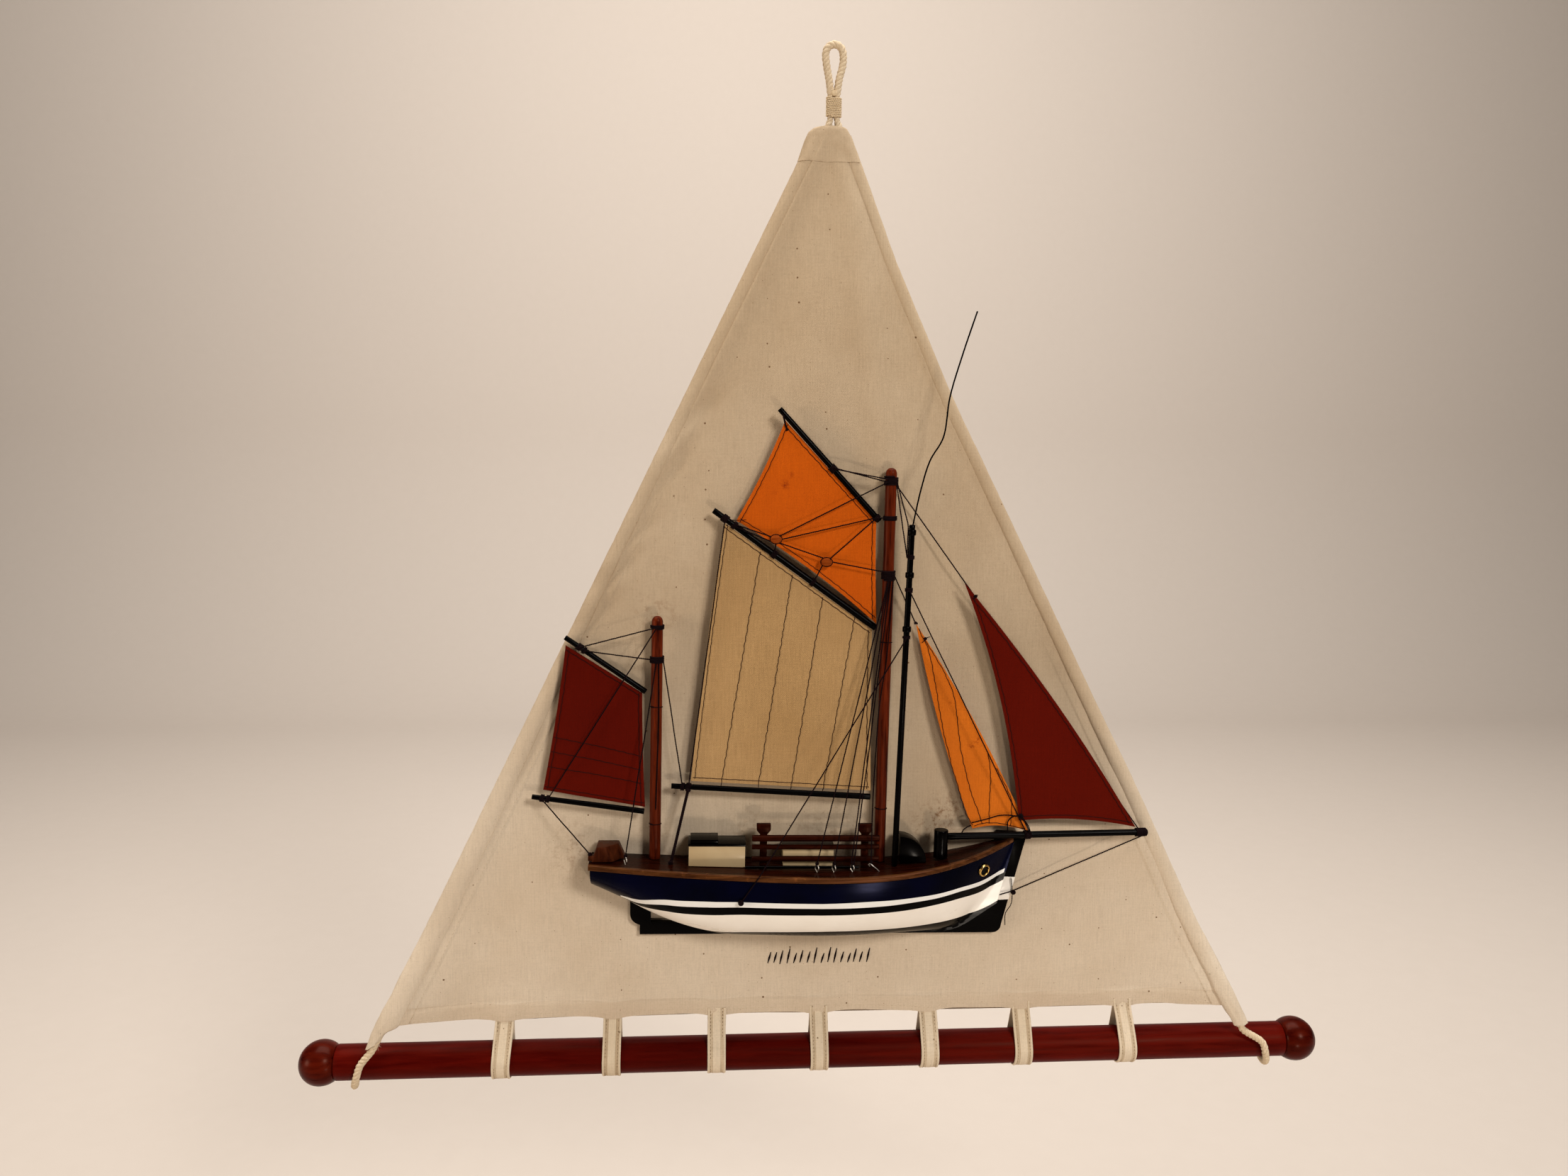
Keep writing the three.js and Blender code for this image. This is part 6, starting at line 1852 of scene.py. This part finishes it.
def sprit(share, rise=0.0, out=0.0):
    """A point along the bowsprit, raised and brought forward."""
    return lerp(sprit_heel, sprit_tip, share) + np.array((0, -out, rise))


def sprit_bind(shape, share, turns, wire=0.45):
    along = sprit_tip - sprit_heel
    shape.add(*helix(sprit(share), along, 2.35, wire, turns, wire * 2, 14, share * 9))


def pole_bind(shape, z, turns, start):
    shape.add(*helix(pole_at(z), (LEAN, 0, 1), POLE_RADIUS, 0.42, turns, 0.85, 12, start))


back_side = np.array((MAIN_X + 3.3, MAST_Y + 3.3, HEAD - 2.2))
thread(stays, [back_side, sprit(0.953, 2.9)], seed=60)
sprit_bind(stays, 0.953, 4)
pole_tie = POLE_TOP - 22.2
pole_left = pole_at(pole_tie) + (-2.6, 0, 0)
over = pole_at(pole_tie + 22) + (-2.8, -0.8, 0)
thread(stays, [mast_face(MAIN_X, HEAD - 2.2, 1.4), over, pole_left], seed=63, waver=0.1)
thread(stays, [mast_face(MAIN_X, HEAD - 2.2, 0.9), pole_left], seed=66)
pole_bind(stays, pole_tie, 3.2, 1.0)
rigged("stay_threads", stays, "head_stays")

fore = Shape()
tie = POLE_TOP - 45.2
pole_bind(fore, tie, 3.2, 2.0)
thread(fore, [pole_at(tie) + (0, -2.6, 0), sprit(0.394, 0.0, 2.9)], seed=70)
sprit_bind(fore, 0.394, 5)
knot(fore, sprit(0.394, 0.4, 3.0), 2.2, 31)
tail(fore, sprit(0.394, 1.5, 3.0), (0.5, -0.2, 1), 4, 9)
# Lashings from the foot of the staysail to the clew of the jib and round the bowsprit
JIB_FACE, STAY_FACE = JIB_Y - 1.6, SAIL_Y - 1.6
clew = np.array((140.6, JIB_FACE, 30.8))
knot(fore, clew, 2.4, 36)
NEAR, NEARER, OVER_JIB = STAY_FACE - 0.4, STAY_FACE - 0.6, JIB_FACE - 1.0
LASHES = [
    [(105.4, STAY_FACE, 25.4), (116.3, NEAR, 28.3), (126.6, NEAR, 31.1), clew],
    [clew, (135.0, STAY_FACE - 1.0, 30.4), (131.5, NEARER, 26.4), (132.2, NEAR, 17.5)],
    [clew, (144.7, OVER_JIB, 24.3), (148.2, sprit(0.394, 0, 3.0)[1], 15.8)],
    [clew + (0.8, 0, -0.6), (145.8, OVER_JIB, 24.3), (148.8, sprit(0.394, 0, 3.2)[1], 15.8)],
    [(105.0, STAY_FACE, 23.4), (99.9, NEARER, 21.1), (97.9, NEARER, 17.4)],
]
for k, line in enumerate(LASHES):
    thread(fore, route(line, 1.5), waver=0.05, seed=170 + 3.0 * k)

# Ties below the heads of the jib and the staysail: x, z and depth, then the ways of the cut ends
HEAD_TIES = [
    (101.2, 189.8, JIB_FACE, [(0.7, -0.3, 1.0), (-0.3, -0.4, -1.0)]),
    (66.8, 158.9, STAY_FACE, [(0.8, -0.3, 0.7), (-0.6, -0.4, -0.9)]),
]
for k, (x, z, depth, ends) in enumerate(HEAD_TIES):
    knot(fore, (x, depth, z), 1.5, 60 + k)
    for n, way in enumerate(ends):
        tail(fore, (x, depth - 0.4, z), way, 3.6, 64 + 2 * k + n)
rigged("pole_stay_thread", fore, "pole_stay")

bob = Shape()
sprit_bind(bob, 0.977, 5)
pin = np.array((138.1, -6.3, -27.4))
thread(bob, [sprit(0.977, -2.7), pin], seed=73)
thread(bob, [pin, (128.9, -7.8, -29.4)], seed=74, waver=0.1)
knot(bob, pin + (1.1, 0, -0.8), 2.4, 33)
STEM_LINE = [(137.1, -6.4, -17.4), (138.4, -6.4, -27), (137.9, -6.2, -38), (134.1, -6.0, -44)]
STEM_LINE.append((134.3, -6.0, -53))
thread(bob, route(STEM_LINE, 2.0), diameter=0.8, seed=75)
rigged("bobstay_thread", bob, "bobstay")

# The long fall from the pole over the deck edge
fall = Shape()
tie = POLE_TOP - 78.2
pole_bind(fall, tie, 2.2, 3.0)
edge = np.array((-49.0, -half_breadth(-49) - 0.8 - 0.75, deck_top(-49)))
end = skin_at(-61, -21.7) + (0, -1.9, 0)
thread(fall, [pole_at(tie) + (0, -2.6, 0), edge], seed=80)
thread(fall, [edge, end], seed=81, waver=0.1)
knot(fall, end, 2.6, 35)
rigged("fall_thread", fall, "long_fall")

# Mizzen rigging
miz = Shape()
HEAD2, MID2 = MIZZEN_TOP - 7.5, MIZZEN_TOP - 30.5
mast_bind(miz, MIZZEN_X, HEAD2, 2.4, 0.55)
mast_bind(miz, MIZZEN_X, MID2, 4.2, 0.6)
for share, turns in ((0.768, 2), (0.826, 4)):
    spar_bind(miz, mizzen_gaff, share, turns)
for share, turns in ((0.862, 3), (0.912, 3)):
    spar_bind(miz, mizzen_boom, share, turns)
spar_bind(miz, main_boom, 0.944, 3)
head2, mid2 = mast_face(MIZZEN_X, HEAD2), mast_face(MIZZEN_X, MID2)
cleat_top = np.array((-166.2, -20.0, 5.3))
mizzen_eye = eye_top(*MIZZEN_EYE)
down_mast = [(MID2 - 2, 0.3), (100, 0.45), (36, 0.1)]
# Points and waver of each line
MIZZEN_LINES = [
    ([head2, mizzen_gaff.face(0.826)], 0.2),
    ([mid2, mizzen_gaff.face(0.768)], 0.2),
    ([head2, mizzen_boom.face(0.862)], 0.25),
    ([mizzen_boom.face(0.862), mizzen_boom.face(0.912)], 0.0),
    ([mizzen_boom.face(0.912), cleat_top], 0.2),
    ([mid2, mizzen_eye], 0.3),
    ([mast_face(MIZZEN_X, MID2, 1.4), main_boom.face(0.944)], 0.2),
    ([mast_face(MIZZEN_X, z, side) for z, side in down_mast], 0.2),
]
for k, (points, waver) in enumerate(MIZZEN_LINES):
    thread(miz, points, waver=waver, seed=90 + 3.0 * k)
knot(miz, cleat_top, 2.0, 41)
knot(miz, mizzen_eye, 1.6, 42)
knot(miz, mizzen_gaff.face(0.8), 1.5, 43)
for x, z in ((MIZZEN_X, 108.5), (MIZZEN_X, 24.5), (MAIN_X, 156.0), (MAIN_X, 36.0)):
    miz.add(*helix((x, MAST_Y, z), (0.0, 0.1, 1), MAST_RADIUS, 0.3, 1.1, 0.5, 20, 0.5))
rigged("mizzen_threads", miz, "mizzen_lines")

# A row of plain strokes where the canvas has an inscription
STROKES_FROM, STROKES_TO, STROKES_Z, STROKE_LEAN = -40.0, 37, -641.5, 2.2
marks = Shape()
pick = np.random.default_rng(12)
x = STROKES_FROM
while x < STROKES_TO:
    tall = 7.0 + 5.0 * pick.random()
    foot = STROKES_Z + pick.normal(0, 0.4)
    y = panel_front(x, foot) - 0.12
    line = [(x + STROKE_LEAN * t, y, foot + tall * t) for t in (0, 0.5, 1)]
    marks.add(*tube(line, [0.3, 0.75, 0.3], 6))
    x += 4.1 + 1.3 * pick.random()
make("canvas_marks", marks, [black_thread], "thread", sharp=80)

# Floor and backdrop in one sheet, bent up behind the part: depth and height across it
FLOOR, SWEEP = -1060, 900
profile = [(y, FLOOR) for y in (-4200, -1500, 0, 1500)]
for t in np.linspace(0, math.pi / 2, 24):
    profile.append((2600 + SWEEP * math.sin(t), FLOOR + SWEEP * (1 - math.cos(t))))
profile.append((3500, 3200))
stage = Shape()
stage.add(*loft([[(x, y, z) for x in (-5200, 5200)] for y, z in profile], False))
backing = Paint("pale_floor", 0.9)
backing.color(backing.mix(backing.noise(40, 4.0), (0.57, 0.51, 0.455), (0.55, 0.49, 0.435)))
mesh = stage.mesh("floor", [backing.material])
mesh.polygons.foreach_set("use_smooth", [True] * len(mesh.polygons))
put("floor", mesh)

# Lamps: place, target, size, power and tint
MIDDLE = (0, 0, -0.45)
LAMPS = {
    "key_light": ((1.62, -2.9, 1.38), MIDDLE, 0.8, 86, (1.0, 0.95, 0.89)),
    "left_light": ((-2.1, -0.85, -0.3), MIDDLE, 0.6, 18, (1.0, 0.86, 0.7)),
    "low_light": ((0.35, -1.0, -0.96), (0.22, -0.5, -0.1), 0.12, 3.2, (1.0, 0.88, 0.75)),
    "backdrop_light": ((0.0, 0.5, 2.0), (0, 3.2, -0.9), 2.4, 142, (1.0, 0.95, 0.9)),
}
for name, (place, target, size, power, tint) in LAMPS.items():
    data = bpy.data.lights.new(name, "AREA")
    data.size = size
    data.energy = power
    data.color = tint
    lamp = put(name, data)
    lamp.location = place
    lamp.rotation_euler = (Vector(target) - Vector(place)).to_track_quat("-Z", "Y").to_euler()
    lamp.visible_camera = False
ROOM_TONE, ROOM_STRENGTH = (1.0, 0.84, 0.68, 1), 0.055
world = bpy.data.worlds.new("world")
bpy.context.scene.world = world
world.use_nodes = True
world.node_tree.nodes["Background"].inputs[0].default_value = ROOM_TONE
world.node_tree.nodes["Background"].inputs[1].default_value = ROOM_STRENGTH
bpy.context.scene.view_settings.view_transform = "Standard"
bpy.context.scene.view_settings.look = "None"
